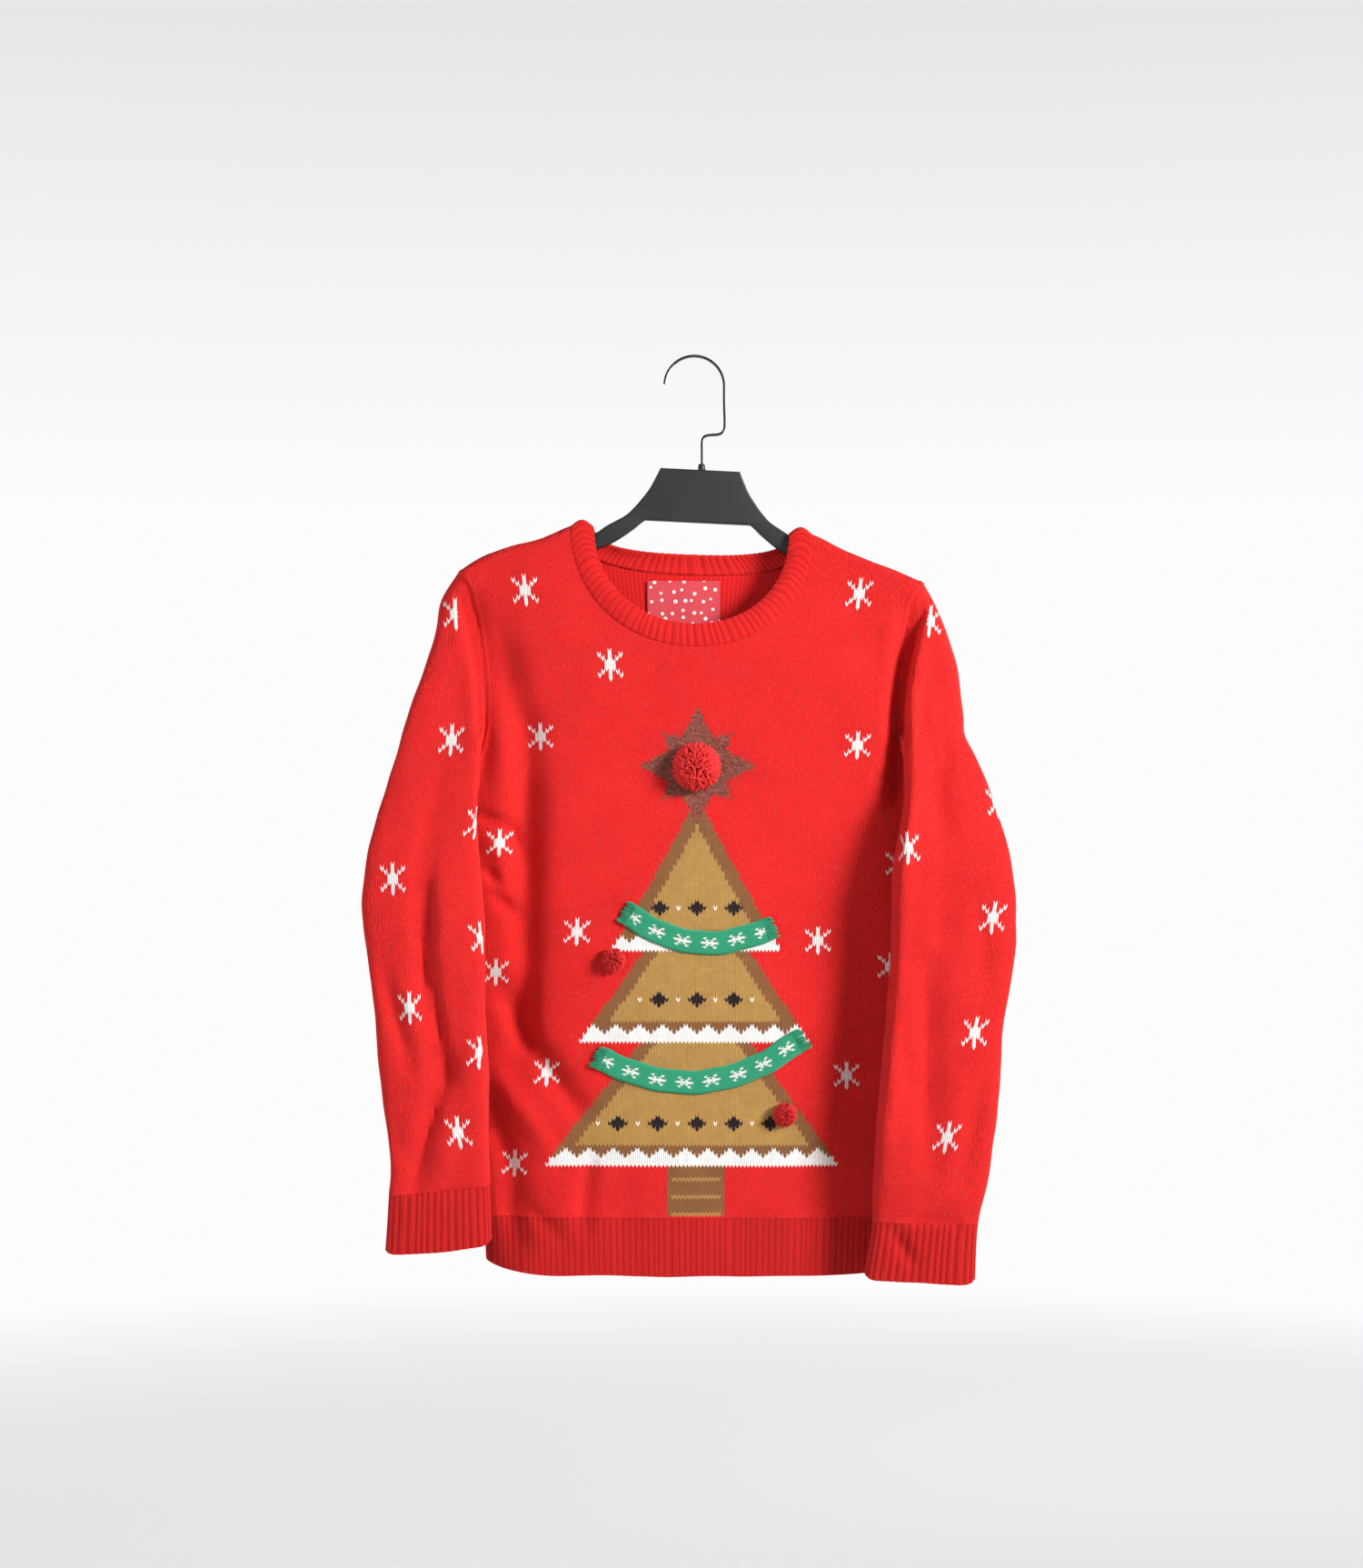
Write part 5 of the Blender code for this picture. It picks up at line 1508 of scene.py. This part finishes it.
def make_hook():
    """A flat strip of steel along the hook's line, and the round nub at its foot."""
    radius = HOOK_RADIUS + HOOK_THICK / 2
    middle_z = -HOOK_RADIUS
    low, high = HOOK_BEND_Z
    shank_x = HOOK_MIDDLE_X + radius
    route = [(HOOK_STEM_X, hanger_place(0, 0)[1] + NUB_HIGH - 0.001),
             (HOOK_STEM_X, low - 0.012), (HOOK_STEM_X, low - 0.006),
             (HOOK_STEM_X + 0.0014, low - 0.0016), (HOOK_STEM_X + 0.0055, low + 0.0004),
             (shank_x - 0.0046, low + 0.0012), (shank_x - 0.0006, low + 0.0040),
             (shank_x + 0.0005, high + 0.0030), (shank_x, middle_z - 0.014)]
    route += [(HOOK_MIDDLE_X + radius * math.cos(a), middle_z + radius * math.sin(a))
              for a in np.radians(np.linspace(0, HOOK_END, 25))]
    route = spline(route, 5)
    run = unit_rows(np.gradient(route, axis=0))
    wide, thick, cut = HOOK_WIDE / 2, HOOK_THICK / 2, HOOK_ROUND
    section = [(wide - cut, thick), (wide, thick - cut), (wide, cut - thick),
               (wide - cut, -thick), (cut - wide, -thick), (-wide, cut - thick),
               (-wide, thick - cut), (cut - wide, thick)]
    points = [(x - run_z * out, y, z + run_x * out)
              for (x, z), (run_x, run_z) in zip(route, run) for y, out in section]
    faces = ring_faces(0, len(route), len(section))
    faces += ring_faces(len(points), len(NUB_PROFILE), NUB_SIDES)
    foot = hanger_place(HOOK_STEM_X - HANGER_TOP[0], 0)[1] + 0.0004
    turn = 2 * math.pi * np.arange(NUB_SIDES) / NUB_SIDES
    points += [(HOOK_STEM_X + NUB_RADIUS * share * math.cos(a), NUB_RADIUS * share * math.sin(a),
                foot + NUB_HIGH * up) for share, up in NUB_PROFILE for a in turn]
    return new_piece("hanger_steel_hook", points, faces, [metal], sharp=40, turn=True)


# ---- Making ----
knit_front = knit_material("red_knit_front", with_tree=True)
knit_plain = knit_material("red_knit")
knit_inside = purl_material("red_purl")
# Painted shade: the hem's and the cuffs' ribs are darker copies of the body's red yarn, for the
# ribs' self-shadow and the dimmer light low on the garment. Each second colour is the painted
# shade in the furrows.
hem_cloth_shaded = rib_material("red_rib_hem", (0.56, 0.0135, 0.0130), (0.51, 0.0118, 0.0118), 0.0002)
cuff_cloth_shaded = rib_material("red_rib", (0.60, 0.0140, 0.0135), (0.54, 0.0120, 0.0120), 0.0006)
band_cloth = rib_material("red_neck_rib", (0.74, 0.0165, 0.0155), (0.70, 0.0150, 0.0142), 0.0004)
ribbon_green = ribbon_material("green_knit")
yarn_green = yarn_material("green_yarn", GREEN, SHEEN_GREEN)
yarn_red = yarn_material("red_yarn", RED_YARN, SHEEN_RED)
label_satin = label_material()
plastic = plastic_material()
metal = metal_material()

body = make_body()
hem = make_hem()
band = make_neckband()
sleeves = {}
for side, word in ((LEFT, "left"), (RIGHT, "right")):
    sleeves["sleeve_" + word] = make_sleeve(side, word)
    sleeves["cuff_" + word] = make_cuff(side, word)
label = make_label(body["back_inner"])
garlands = make_garlands(body["front_outer"])
pompoms = make_pompoms()
arms = make_hanger()
hook = make_hook()

declare(body["front"], ["front"])
declare(body["back"], ["back"])
declare(hem, ["hem_rib"])
declare(band, ["neckband"])
for name, piece in sleeves.items():
    declare(piece, [name])
declare(label, ["neck_label"])
for name, piece in garlands.items():
    declare(piece, [] if name.endswith("fringe") else [name])
for name, piece in pompoms.items():
    declare(piece, [name])
declare(arms, ["hanger"])
declare(hook, ["hanger_hook"])

# ---- Floor, light and camera ----
FLOOR_Z = -1.45
FLOOR_REACH = 30.0
SKY_BRIGHT = 0.98  # the horizon behind the garment
SKY_DIM = 0.42  # and the one that it faces
# Columns: name, place, the height at the middle that it faces, width, power, spread in degrees.
SOFTBOXES = (
    ("key", (2.30, -1.74, 0.50), -0.50, 1.1, 11.5, 46),
    ("left_fill", (-2.1, -1.0, -0.1), -0.42, 1.2, 17, 180),
    ("rear", (0.9, 2.4, 0.5), -0.42, 1.6, 42, 180),
    ("front_fill", (-0.5, -2.9, 0.1), -0.42, 1.4, 5, 180),
)
PICTURE_WIDE = 1.155
CAMERA_FROM = 2.33


def coordinates(tree, kind):
    """Object or Generated coordinates as numbers."""
    place = tree.nodes.new("ShaderNodeTexCoord")
    split = tree.nodes.new("ShaderNodeSeparateXYZ")
    tree.links.new(place.outputs[kind], split.inputs[0])
    return [Number(tree, socket) for socket in split.outputs]


def horizon_level(ahead):
    """The horizon's brightness in a direction, from its share of +Y."""
    return ahead.ramp(-0.45, 0.75) * (SKY_BRIGHT - SKY_DIM) + SKY_DIM


def floor_material():
    """White, and far off as bright as the light at the horizon."""
    material, tree, shader = new_material("floor_paint", 0.9, specular=0.1)
    shader.inputs["Base Color"].default_value = (0.86, 0.86, 0.86, 1)
    x, y, _ = coordinates(tree, "Object")
    distance = (x * x + y * y + 0.01) ** 0.5
    glow = tree.nodes.new("ShaderNodeEmission")
    tree.links.new(horizon_level(y * distance ** -1.0).socket, glow.inputs["Color"])
    either = tree.nodes.new("ShaderNodeMixShader")
    tree.links.new(distance.ramp(0.7, 3.6).socket, either.inputs[0])
    tree.links.new(shader.outputs[0], either.inputs[1])
    tree.links.new(glow.outputs[0], either.inputs[2])
    tree.links.new(either.outputs[0], tree.nodes["Material Output"].inputs[0])
    return material


scene = bpy.context.scene
scene.view_settings.view_transform = "Standard"
scene.view_settings.look = "None"

corners = ((-1, -1), (1, -1), (1, 1), (-1, 1))
floor = new_piece("floor", [(x * FLOOR_REACH, y * FLOOR_REACH, FLOOR_Z) for x, y in corners],
                  [(0, 1, 2, 3)], [floor_material()])

world = bpy.data.worlds.new("studio")
scene.world = world
world.use_nodes = True
sky = world.node_tree
_, ahead, up = coordinates(sky, "Generated")
fade = up.ramp(0.10, 0.28) * -0.20 + up.ramp(0.28, 0.50) * -0.55 + 1.0
sky.links.new((horizon_level(ahead) * fade).socket, sky.nodes["Background"].inputs["Color"])

for name, place, aim_z, wide, power, spread in SOFTBOXES:
    light = bpy.data.lights.new(name, "AREA")
    light.spread = math.radians(spread)
    light.shape = "DISK"
    light.size = wide
    light.energy = power
    lamp = bpy.data.objects.new(name, light)
    lamp.location = place
    way = Vector(place) - Vector((0, 0, aim_z))
    lamp.rotation_euler = way.to_track_quat("Z", "Y").to_euler()
    lamp.visible_camera = False
    bpy.context.collection.objects.link(lamp)

camera = bpy.data.cameras.new("camera")
camera.sensor_fit = "HORIZONTAL"
camera.sensor_width = 36.0
camera.lens = 36.0 * CAMERA_FROM / PICTURE_WIDE
camera.clip_end = 100.0
eye = bpy.data.objects.new("camera", camera)
eye.location = (-0.0085, -CAMERA_FROM - 0.020, -0.3646)
eye.rotation_euler = (math.pi / 2, 0, 0)
bpy.context.collection.objects.link(eye)
scene.camera = eye
